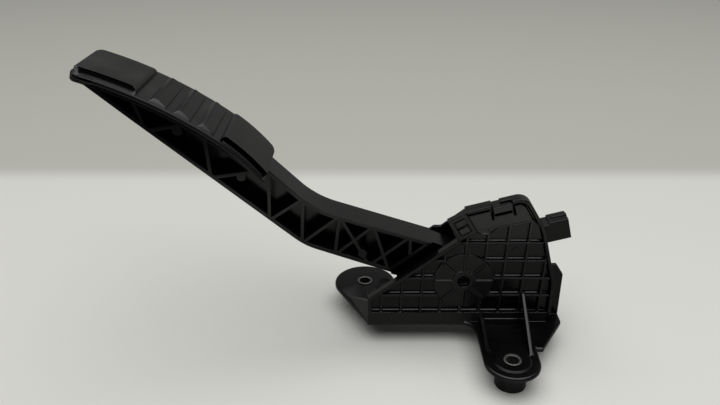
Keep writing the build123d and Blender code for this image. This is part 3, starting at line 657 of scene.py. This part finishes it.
    def cut(self, cutter: "Workpiece") -> None:
        """Take another workpiece's shape out of this one."""
        self.modify("BOOLEAN", operation="DIFFERENCE", object=cutter.made, solver="EXACT")
        bpy.data.objects.remove(cutter.made)

    def join(self, *others: "Workpiece") -> None:
        """Take other workpieces into this mesh.

        Args:
            others: The other workpieces.
        """
        self.activate()
        for other in others:
            other.made.select_set(True)
        ops.object.join()

    def move(self, matrix: Matrix) -> None:
        """Place the mesh by a matrix."""
        self.made.matrix_world = matrix
        self.settle()

    def dress(self, material: Material, body: Body | None, slot: Slot, *nodes: str) -> None:
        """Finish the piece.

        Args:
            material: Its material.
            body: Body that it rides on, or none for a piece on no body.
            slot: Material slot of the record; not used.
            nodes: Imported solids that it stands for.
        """
        self.activate()
        self.made.data.materials.clear()
        self.made.data.materials.append(material)
        ops.object.shade_smooth_by_angle(angle=math.radians(SHARP))
        self.modify("WEIGHTED_NORMAL", keep_sharp=True)
        if body:
            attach(self.made, body.value)
        if nodes:
            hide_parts(*nodes)
        LOG.info("%s: %d faces on %s", self.made.name, len(self.made.data.polygons), body)


@dataclass
class MouldedShell:
    """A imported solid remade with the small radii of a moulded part."""

    node: str
    name: str
    body: Body
    slot: Slot
    finish: Material
    radius: float = 0.00032
    window: tuple[Point, Point] | None = None
    crests: tuple[tuple[Test, Test, float], ...] = ()

    def build(self) -> None:
        """Round the crests, cut the window, round every other sharp edge and dress the piece."""
        piece = Workpiece.from_node(self.node, self.name)
        for first, second, width in self.crests:
            piece.crest(first, second, width, segments=3)
        if self.window:
            cutter = Workpiece.block("window", *self.window)
            cutter.move(SLOPED)
            piece.cut(cutter)
        piece.soften(self.radius)
        piece.dress(self.finish, self.body, self.slot, self.node)


# Limits of the faces that the tests below look for on the housing, in metres.
EAR_BACK = 0.038
RIDGE_HEIGHTS = (0.0162, 0.035)
TOP_HEIGHTS = (0.0157, 0.0163)
RIM_HEIGHTS = (0.0143, 0.0151)


def between(value: float, limits: Pair) -> bool:
    """Whether a value lies between two limits."""
    return limits[0] < value < limits[1]


def gusset_ridge(at: Vector, normal: Vector) -> bool:
    """Whether a face of the housing is the ridge of a gusset on the front ear."""
    leaning = normal.y < -0.15 and normal.z > 0.3 and abs(normal.x) < 0.05
    return leaning and between(at.z, RIDGE_HEIGHTS) and at.y < EAR_BACK


def gusset_side(at: Vector, normal: Vector) -> bool:
    """Whether a face of the housing is the side of a gusset."""
    return abs(normal.x) > 0.95 and at.y < EAR_BACK


def plate_top(at: Vector, normal: Vector) -> bool:
    """Whether a face of the housing is the top of its foot plate."""
    return normal.z > 0.99 and between(at.z, TOP_HEIGHTS)


def plate_side(at: Vector, normal: Vector) -> bool:
    """Whether a face of the housing is the rim of its foot plate."""
    return abs(normal.z) < 0.1 and between(at.z, RIM_HEIGHTS)


@dataclass
class PedalPad:
    """Curved pad with a lipped toe, two treads with side pockets and three cross bars, bent from flat."""

    finish: PadSurface
    centre: Point = (-0.30492, 0.0565, -0.057207)
    radius: float = 0.238
    start: float = 73.2
    end: float = 45.4
    width: float = 0.0485
    seat: float = 0.00005
    lip: float = 0.0025
    lip_run: float = 0.013
    lip_inset: float = 0.00225
    lip_start: float = 0.0015
    lip_rounding: float = 0.0015
    head: float = 72.85
    head_depth: float = 0.01
    thickness: float = 0.0023
    corner: float = 0.006
    heel_corner: float = 0.002
    ledge: float = 0.0012
    inset: float = 0.0042
    far_slope: float = 0.0014
    rise: float = 0.0031
    treads: Outline = ((72.75, 64.8), (53.2, 45.85))
    tread_edges: Pair = (0.0006, 0.0026)
    tread_corners: Pair = (0.006, 0.003)
    tread_ramp: float = 0.75
    pocket_ends: Pair = (0.0036, 0.0022)
    pocket_slant: float = 0.004
    pocket_over: float = 0.001
    grip_end: float = 0.0012
    grip_rise: float = 0.0005
    grip_rim: float = 0.0007
    grip_crest: float = 0.001
    grip_fall: float = 0.35
    bars: tuple[float, ...] = (63.2, 59.9, 56.6)
    bar_width: float = 0.0098
    bar_rise: float = 0.0024
    bar_end: float = 0.0022
    bar_edges: Pair = (0.0002, 0.0003)
    bar_crest: float = 0.0034
    bar_fall: float = 0.26
    bar_front: float = 0.001
    bar_climb: float = 1.1
    bar_rounding: float = 0.0009
    bar_slant: float = 0.0021
    droop: float = 10.0
    droop_from: float = 53.5
    rounding: float = 0.0005
    sharp: float = 28.0
    slice: float = 0.0025

    def along(self, angle: float) -> float:
        """Place of an angle of the curve on the flat pad."""
        return math.radians((self.start + self.end) / 2 - angle) * self.radius

    def sheet(self, name: str, low: float, end: float) -> Workpiece:
        """Shape the plate, or the lip under its toe, with round corners.

        Args:
            name: Name of the piece.
            low: Its lower face.
            end: Its end nearest the heel.

        Returns:
            The flat piece.
        """
        toe, half = self.along(self.start), self.width / 2
        piece = Workpiece.block(name, (toe, low, -half), (end, self.thickness, half))
        piece.bevel(lambda at, way: abs(way.y) > MOSTLY and at.x < toe + SLACK, self.corner, segments=8)
        return piece

    def lip_under(self, toe: float) -> Workpiece:
        """Shape the thick round lip that wraps the arm's head at the toe.

        Args:
            toe: Station of the toe.

        Returns:
            The flat lip.
        """
        end = toe + self.lip_run
        piece = self.sheet("lip", -self.lip, end)
        piece.bevel(lambda at, way: at.y < SLACK - self.lip and at.x < end - SLACK,
                    self.lip_rounding, segments=4)
        piece.slope((toe + self.lip_start, -self.lip, 0), (self.lip / self.lip_run, -1, 0))
        reach = self.width / 2 - self.lip_inset
        piece.cut(Workpiece.block(
            "head", (self.along(self.head), -self.head_depth, -reach),
            (toe + 2 * self.lip_run, self.seat, reach)))
        return piece

    def grip(self, number: int) -> Workpiece:
        """Lay the stippled floor of a tread's pocket and mark it for the finish.

        Args:
            number: 0 for the tread at the toe and 1 for the one at the heel.

        Returns:
            The flat floor.
        """
        start, end = (self.along(angle) for angle in self.treads[number])
        half, top = self.width / 2, self.thickness + self.grip_rise
        piece = Workpiece.block(
            f"grip_{number}", (start + self.grip_end, self.thickness / 2, half - self.inset),
            (end - self.grip_end, top, half - self.ledge - self.grip_rim))
        piece.slope((0, top, half - self.inset + self.grip_crest), (0, 1, self.grip_fall))
        piece.made.data.attributes.new(self.finish.mark, "FLOAT", "POINT")
        return piece

    def raised(self, name: str, reach: Pair, rise: float, near: float, edges: Pair,
               corners: tuple[Point, ...] = ()) -> Workpiece:
        """Shape a bar or the body of a tread.

        Args:
            name: Name of the piece.
            reach: Its ends along the flat pad, nearest the toe first.
            rise: Its height over the plate.
            near: Distance of its near end from the rim.
            edges: Radii of its upper edges at both ends.
            corners: Station, side and radius of each upright corner that is round.

        Returns:
            The flat bar or tread.
        """
        half, top = self.width / 2, self.thickness + rise
        piece = Workpiece.block(
            name, (reach[0], self.thickness / 2, self.inset - half), (reach[1], top, half - near))
        for station, side, radius in corners:
            piece.bevel(lambda at, way: abs(way.y) > MOSTLY and abs(at.x - station) < SLACK
                        and at.z * side > 0, radius, segments=6)
        for station, radius in zip(reach, edges):
            piece.bevel(lambda at, way: abs(way.z) > MOSTLY and abs(at.x - station) < SLACK
                        and at.y > top - SLACK, radius, segments=6)
        piece.slope((0, top, self.inset - half + self.far_slope), (0, 1, -1))
        return piece

    def bar(self, number: int) -> Workpiece:
        """Shape a cross bar, steep toward the toe, gentle toward the heel and sloped at its near end.

        Args:
            number: Number of the bar from the toe, 0 for the first.

        Returns:
            The flat bar.
        """
        start = self.along(self.bars[number])
        piece = self.raised(f"bar_{number}", (start, start + self.bar_width), self.bar_rise, self.bar_end,
                            self.bar_edges)
        top, face = self.thickness + self.bar_rise, self.width / 2 - self.bar_end
        piece.slope((start + self.bar_crest, top, 0), (self.bar_fall, 1, 0))
        piece.slope((start + self.bar_crest - self.bar_front, top, 0), (-self.bar_climb, 1, 0))
        piece.bevel(lambda at, way: at.y > top - SLACK and abs(way.z) > MOSTLY, self.bar_rounding, segments=3)
        piece.slope((0, top, face - self.bar_slant), (0, 1, 1))
        return piece

    def tread(self, number: int) -> Workpiece:
        """Shape a tread with round outer corners and a pocketed ramp down to the near rim.

        Args:
            number: 0 for the one at the toe and 1 for the one at the heel.

        Returns:
            The flat tread.
        """
        reach = tuple(self.along(angle) for angle in self.treads[number])
        outer, order = reach[number], (1, -1)[number]
        far, near = self.tread_corners
        piece = self.raised(f"tread_{number}", reach, self.rise, self.ledge, self.tread_edges[::order],
                            ((outer, -1, far), (outer, 1, near)))
        piece.slope((0, self.thickness + self.rise, self.width / 2 - self.inset), (0, self.tread_ramp, 1))
        first, last = self.pocket_ends[::order]
        self.pocket(piece, reach[0] + first, reach[1] - last)
        return piece

    def pocket(self, tread: Workpiece, start: float, end: float) -> None:
        """Sink a pocket with slanted ends into the ramp of a tread.

        Args:
            tread: The tread.
            start: End of the pocket nearest the toe.
            end: End nearest the heel.
        """
        half, top = self.width / 2, self.thickness + self.rise
        cutter = Workpiece.block(
            "pocket", (start, self.thickness, half - self.inset), (end, top + self.pocket_over, half))
        cutter.pick(faces=lambda at, normal: normal.y > MOSTLY)
        with cutter.editing():
            ops.transform.resize(value=(1 + self.pocket_slant / (end - start), 1, 1),
                                 center_override=((start + end) / 2, 0, 0))
        tread.cut(cutter)

    def build(self) -> None:
        """Shape the pad flat, bend it to the arm's head and dress it."""
        toe, heel, hinge = (self.along(angle) for angle in (self.start, self.end, self.droop_from))
        piece = self.sheet("pad", self.seat, heel)
        piece.bevel(lambda at, way: abs(way.y) > MOSTLY and at.x > heel - SLACK, self.heel_corner, segments=4)
        lip = self.lip_under(toe)
        grips = [self.grip(number) for number in range(len(self.treads))]
        parts = [piece, lip, *(self.tread(number) for number in range(len(self.treads))),
                 *(self.bar(number) for number in range(len(self.bars))), *grips]
        for part in parts:
            part.soften(self.rounding, segments=3, angle=self.sharp)
            low, high = (pick(corner[0] for corner in part.made.bound_box) for pick in (min, max))
            count = math.ceil((high - low) / self.slice)
            part.slices([low + (high - low) * step / count for step in range(1, count)])
        for part in grips:
            shade = part.made.data.attributes[self.finish.mark].data
            shade.foreach_set("value", [1.0] * len(shade))
        piece.join(*parts[1:])
        piece.move(Matrix.Translation((-hinge, 0, 0)))
        piece.modify("SIMPLE_DEFORM", deform_method="BEND", deform_axis="Z", angle=-math.radians(self.droop),
                     limits=((hinge - toe) / (heel - toe), 1.0))
        piece.move(Matrix.Translation((hinge, 0, 0)))
        piece.modify("SIMPLE_DEFORM", deform_method="BEND", deform_axis="Z",
                     angle=-math.radians(self.start - self.end))
        turn = math.radians((self.start + self.end) / 2)
        across, out = math.sin(turn), math.cos(turn)
        place = Matrix(((across, out, 0, self.centre[0] + self.radius * out),
                        (0, 0, -1, self.centre[1]),
                        (-out, across, 0, self.centre[2] + self.radius * across),
                        (0, 0, 0, 1)))
        piece.move(place)
        piece.dress(self.finish.material(), Body.PEDAL, Slot.PAD, "pedal_pad")


@dataclass
class PlateLedge:
    """Low rounded step between the gussets, where the front ear's plate runs up into the housing wall."""

    name: str
    low: Point
    high: Point
    finish: Material
    rounding: float = 0.0009

    def build(self) -> None:
        """Round the near upper edge of a block and dress it."""
        near, top = self.low[1] + SLACK, self.high[2] - SLACK
        piece = Workpiece.block(self.name, self.low, self.high)
        piece.bevel(lambda at, way: abs(way.x) > MOSTLY and at.y < near and at.z > top,
                    self.rounding, segments=6)
        piece.dress(self.finish, Body.BASE, Slot.HOUSING)


@dataclass
class PanelEdge:
    """Raised edge under the smooth panel of the housing, with the lobe that it runs round."""

    name: str
    finish: Material
    curl: Outline = ((0.0045, 0.0335), (0.0083, 0.0318), (0.0130, 0.0321), (0.0174, 0.0362))
    rest: Outline = ((0.0376, 0.0405), (0.0448, 0.0345))
    lobe_top: Outline = ((0.0170, 0.0370), (0.0060, 0.0346))
    width: float = 0.0009
    rounding: float = 0.000405
    crown: float = 0.0385
    face: float = 0.03902
    web: float = 0.0412

    def strip(self, number: int) -> Workpiece:
        """Shape one straight stretch of the edge.

        Args:
            number: Its place in the path.

        Returns:
            The stretch, rounded on its near side.
        """
        ends = (self.curl + self.rest)[number:number + 2]
        first, second = (Vector((along, 0, up)) for along, up in ends)
        run = second - first
        half = self.width / 2
        piece = Workpiece.block(
            f"stretch_{number}", (-half, self.crown, -half), (run.length + half, self.web, half))
        piece.bevel(lambda at, way: at.y < self.crown + SLACK, self.rounding, segments=3)
        turn = Matrix.Rotation(-math.atan2(run.z, run.x), 4, "Y")
        piece.move(PIVOT @ Matrix.Translation(first) @ turn)
        return piece

    def build(self) -> None:
        """Set the stretches end to end over the lobe and dress them."""
        piece = Workpiece.prism(self.name, self.curl + self.lobe_top, self.face, self.web)
        piece.move(PIVOT)
        piece.join(*(self.strip(number) for number in range(len(self.curl + self.rest) - 1)))
        piece.dress(self.finish, Body.BASE, Slot.HOUSING)


@dataclass
class RibRoots:
    """Chamfered roots over the housing's level ribs and rail, which catch the light between leaning ribs."""

    name: str
    finish: Material
    rows: tuple[tuple[float, Outline], ...] = (
        (-0.0221, ((-0.0548, -0.0500), (-0.0484, -0.0381), (-0.0365, -0.0262), (-0.0246, -0.0143),
                   (-0.0127, -0.0024), (-0.0008, 0.0095), (0.0111, 0.0214), (0.0230, 0.0333))),
        (-0.0096, ((-0.0479, -0.0377), (-0.0361, -0.0258), (-0.0242, -0.0162), (0.0160, 0.0218),
                   (0.0234, 0.0337), (0.0378, 0.0450))),
        (0.0023, ((-0.0356, -0.0253), (-0.0237, -0.0184), (0.0186, 0.0223), (0.0239, 0.0342),
                  (0.0358, 0.0458))),
        (0.0142, ((0.0124, 0.0228), (0.0243, 0.0347), (0.0362, 0.0455))),
        (0.0261, ((0.0011, 0.0113), (0.0130, 0.0232), (0.0249, 0.0351), (0.0368, 0.0428))),
    )
    half: float = 0.0007
    depth: float = 0.0009
    swell: float = 0.0007
    crown: float = 0.0404
    back: float = 0.0412
    chamfer: float = 0.0006

    def strip(self, height: float, start: float, end: float) -> Workpiece:
        """Shape the root of one rib between two leaning ribs.

        Args:
            height: Middle of the rib over the pivot.
            start: Left end of the root from the pivot.
            end: Right end of the root.

        Returns:
            The chamfered strip.
        """
        top = height + self.half + self.swell
        piece = Workpiece.block("rib_root", (start, self.crown, top - self.depth), (end, self.back, top))
        piece.bevel(lambda at, way: at.y < self.crown + SLACK and at.z > top - SLACK,
                    self.chamfer, segments=1)
        piece.move(PIVOT)
        return piece

    def build(self) -> None:
        """Shape every root, join them and dress them."""
        first, *others = (self.strip(height, *reach) for height, run in self.rows for reach in run)
        first.join(*others)
        first.made.name = first.made.data.name = self.name
        first.dress(self.finish, Body.BASE, Slot.HOUSING)


@dataclass
class MouldRing:
    """Plain round mark that a mould pin leaves in a pocket."""

    name: str
    centre: Point
    finish: Material
    radius: float = 0.0022
    height: float = 0.0005
    border: float = 0.0006
    sink: float = 0.00035
    rounding: float = 0.00012

    def build(self) -> None:
        """Sink the middle of a low disc, turn it to the near side and dress it."""
        piece = Workpiece.round_bar(self.name, (0.0, 0.0, 0.0), self.radius, self.height, sides=32)
        piece.inset(lambda at, normal: normal.z > MOSTLY, self.border, -self.sink)
        piece.soften(self.rounding, segments=2, angle=50.0)
        piece.move(Matrix.Translation(self.centre) @ Matrix.Rotation(math.pi / 2, 4, "X"))
        piece.dress(self.finish, Body.BASE, Slot.HOUSING)


@dataclass
class MountBush:
    """Rolled steel bush of a mounting ear, with a seam and chamfered ends."""

    name: str
    node: str
    bolt: Pair
    finish: Material
    seam: float
    inner: float = 0.0036
    outer: float = 0.0051
    length: float = 0.0168
    chamfer: float = 0.0004
    gap: float = 5.0
    steps: int = 64
    weld: float = 0.000001

    def build(self) -> None:
        """Spin the wall of the bush round its bolt and dress it."""
        way = Vector((math.cos(math.radians(self.seam)), math.sin(math.radians(self.seam)), 0))
        centre = Vector((*self.bolt, 0))
        piece = Workpiece.primitive(self.name, ops.mesh.primitive_plane_add, size=1.0)
        piece.made.scale = (self.outer - self.inner, self.length, 1.0)
        piece.settle()
        with piece.editing(whole=True):
            ops.mesh.bevel(offset=self.chamfer, segments=2, affect="VERTICES")
        middle = centre + way * (self.inner + self.outer) / 2 + Vector((0, 0, self.length / 2))
        side = Vector((0, 0, 1)).cross(way)
        piece.move(Matrix(((way.x, 0, side.x, middle.x), (way.y, 0, side.y, middle.y),
                           (0, 1, 0, middle.z), (0, 0, 0, 1))))
        with piece.editing(whole=True):
            ops.mesh.spin(steps=self.steps, angle=math.radians(360.0 - self.gap), center=centre,
                          axis=(0, 0, 1))
            ops.mesh.select_all(action="SELECT")
            ops.mesh.remove_doubles(threshold=self.weld)
            piece.face_outward()
        piece.dress(self.finish, Body.BASE, Slot.BUSH_STEEL, self.node)


@dataclass
class CoilSpring:
    """Coil spring between the arm's tail and the roof."""

    name: str
    node: str
    finish: Material
    mean: float
    wire: float
    pitch: float
    foot: Point = (-0.00133, 0.058, 0.05214)
    slope: float = 15.0
    length: float = 0.0234
    seat: float = 0.002
    sides: int = 12
    steps: int = 36

    def build(self) -> None:
        """Screw a round wire up the spring's axis and dress it."""
        rise = self.length - 2 * self.wire
        turns = round(rise / self.pitch)
        piece = Workpiece.primitive(
            self.name, ops.mesh.primitive_circle_add, vertices=self.sides, radius=self.wire, fill_type="NGON",
            location=(self.mean, 0, self.wire), rotation=(math.pi / 2, 0, 0))
        piece.settle()
        piece.modify("SCREW", axis="Z", angle=math.tau, screw_offset=rise / turns, iterations=turns,
                     steps=self.steps, render_steps=self.steps, use_merge_vertices=False)
        with piece.editing():
            piece.face_outward()
        lean = Matrix.Rotation(-math.radians(self.slope), 4, "Y")
        piece.move(Matrix.Translation(self.foot) @ lean)
        piece.dress(self.finish, None, Slot.SPRING, self.node)
        made = piece.made
        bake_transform(made)


@dataclass
class RubberStop:
    """Rubber stop with a rounded head and a stem in its post."""

    name: str
    node: str
    station: float
    top: float
    finish: Material
    depth: float = 0.058
    radius: float = 0.005
    length: float = 0.008
    rounding: float = 0.0025
    stem: float = 0.002
    stem_length: float = 0.005
    foot_rounding: float = 0.0002

    def build(self) -> None:
        """Round the head of the stop, draw its stem and dress it."""
        foot = (self.station, self.depth, self.top - self.length)
        piece = Workpiece.round_bar(self.name, foot, self.radius, self.length, sides=40)
        piece.bevel(lambda at, way: at.z > self.top - SLACK, self.rounding, segments=6)
        piece.inset(lambda at, normal: normal.z < -MOSTLY, self.radius - self.stem, 0.0)
        piece.pick(faces=lambda at, normal: normal.z < -MOSTLY and math.dist(at, foot) < SLACK)
        with piece.editing():
            ops.mesh.extrude_region_move(TRANSFORM_OT_translate={"value": (0, 0, -self.stem_length)})
        piece.soften(self.foot_rounding, segments=1, angle=50.0)
        piece.dress(self.finish, Body.BASE, Slot.STOP, self.node)


@dataclass
class Studio:
    """Pale floor, soft room, one lamp and the camera at the photograph's angle."""

    floor: PaleFloor
    floor_size: float = 9.0
    camera_at: Point = (-0.086, -0.3179, 0.2665)
    camera_turn: float = 64.5
    lens: float = 35.0
    sensor: float = 36.0
    room_front: Colour = (0.05, 0.05, 0.05)
    room_back: Colour = (0.22, 0.22, 0.214)
    room_turn: Pair = (-0.6, 0.5)
    room_height: Pair = (0.46, 0.6)
    panel_at: Point = (-0.1, -0.3, 2.4)
    panel_size: Pair = (3.6, 3.6)
    panel_power: float = 86.0

    def lamp(self) -> None:
        """Hang one broad soft lamp over the pedal."""
        ops.object.light_add(type="AREA", location=self.panel_at)
        made = bpy.context.object
        made.name = "ceiling_panel"
        made.data.shape = "RECTANGLE"
        made.data.size, made.data.size_y = self.panel_size
        made.data.energy = self.panel_power

    def build(self) -> None:
        """Lay the floor, hang the lamp and stand the camera."""
        ops.mesh.primitive_plane_add(size=self.floor_size, location=(0, 0, 0))
        table = bpy.context.object
        table.name = "floor"
        table.data.materials.append(self.floor.material())
        room = Graph(bpy.data.worlds.new("soft_room"), "Background")
        high = room.part("Generated", "Z").ramp(*self.room_height)
        away = room.part("Generated", "Y").ramp(*self.room_turn) * (1 - high)
        room.feed(room.shader, {"Color": room.mix(away, self.room_front, self.room_back)})
        bpy.context.scene.world = room.owner
        self.lamp()
        ops.object.camera_add(location=self.camera_at, rotation=(math.radians(self.camera_turn), 0, 0))
        camera = bpy.context.object
        camera.data.lens = self.lens
        camera.data.sensor_width = self.sensor
        bpy.context.scene.camera = camera
        bpy.context.scene.view_settings.view_transform = "Standard"


@dataclass
class InnerWorks:
    """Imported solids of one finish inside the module, which keep their shape."""

    finish: Material
    nodes: tuple[str, ...]

    def build(self) -> None:
        """Give each kept solid its material."""
        for node in self.nodes:
            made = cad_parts[node]
            made.data.materials.clear()
            made.data.materials.append(self.finish)
            LOG.info("%s keeps its solid", node)


def main() -> None:
    """Build the studio and every sub-assembly in order."""
    logging.basicConfig(level=logging.INFO, format="%(message)s")
    Studio(PaleFloor("pale_floor")).build()
    # The housing's plastic has painted light on its proud front faces, stronger towards the top.
    skin = MouldedPlastic("black_housing_plastic", painted_light_depth=0.0392, painted_light_height=0.078).material()
    MouldedShell("housing", "ribbed_housing", Body.BASE, Slot.HOUSING, skin,
                 window=((0.0258, 0.0384, 0.0381), (0.0358, 0.0437, 0.0404)),
                 crests=((gusset_ridge, gusset_side, 0.00085), (plate_top, plate_side, 0.0011))).build()
    PlateLedge("front_ledge", (-0.01105, 0.0366, 0.0158), (0.01075, 0.0382, 0.019), skin).build()
    PanelEdge("panel_edge", skin).build()
    RibRoots("rib_roots", skin).build()
    MouldRing("mould_ring", (0.0057, 0.0412, 0.0639), skin).build()
    MouldedShell("rear_cover", "back_cover", Body.BASE, Slot.HOUSING,
                 MouldedPlastic("black_cover_plastic").material()).build()
    MouldedShell("pedal_arm", "ribbed_arm", Body.PEDAL, Slot.ARM,
                 MouldedPlastic("black_arm_plastic", rounding=0.0001).material(), radius=0.00014).build()
    MouldedShell("connector", "plug_shroud", Body.BASE, Slot.CONNECTOR,
                 MouldedPlastic("black_plug_plastic", roughness=0.4).material(), radius=0.0002).build()
    PedalPad(PadSurface("black_pad_skin")).build()
    steel = BareMetal("darkened_steel", (0.16, 0.155, 0.15), (0.07, 0.06, 0.055), 0.38).material()
    for name, bolt, seam in (("front", (0.0, 0.0), 40.0), ("left", (-0.0826, 0.0847), 200.0),
                             ("right", (0.018, 0.0847), 310.0)):
        MountBush(f"{name}_steel_bush", f"mount_bush_{name}", bolt, steel, seam).build()
    wire = BareMetal("spring_wire", (0.30, 0.30, 0.31), (0.10, 0.09, 0.08), 0.25).material()
    for name, mean, radius, pitch in (("outer", 0.0074, 0.0009, 0.0043), ("inner", 0.0046, 0.0006, 0.0036)):
        CoilSpring(f"{name}_coil", f"{name}_spring", wire, mean, radius, pitch).build()
    rubber = SoftRubber("stop_rubber").material()
    RubberStop("idle_bumper", "idle_stop", station=0.002, top=0.0405805, finish=rubber).build()
    RubberStop("floor_bumper", "full_stop", station=-0.071, top=0.0329844, finish=rubber).build()
    for finish, nodes in (
            (BareMetal("dark_pin", (0.02, 0.02, 0.02), (0.012, 0.011, 0.01), 0.5), ("pivot_shaft",)),
            (MouldedPlastic("bearing_plastic", (0.55, 0.53, 0.48), (0.62, 0.60, 0.54), roughness=0.4),
             ("near_bush", "far_bush", "spring_carrier", "spring_seat", "friction_shoe")),
            (BoardMask("green_board"), ("sensor_board",)),
            (MouldedPlastic("chip_body", (0.02, 0.02, 0.021), roughness=0.5),
             ("sensor_chip_a", "sensor_chip_b")),
            (BareMetal("rotor_plate", (0.62, 0.60, 0.55), (0.35, 0.32, 0.27)), ("sensor_rotor",)),
            (BareMetal("tinned_terminal", (0.66, 0.64, 0.60), (0.40, 0.38, 0.34), 0.22),
             tuple(f"terminal_{number}" for number in range(1, 7)))):
        InnerWorks(finish.material(), nodes).build()


if __name__ == "__main__":
    main()
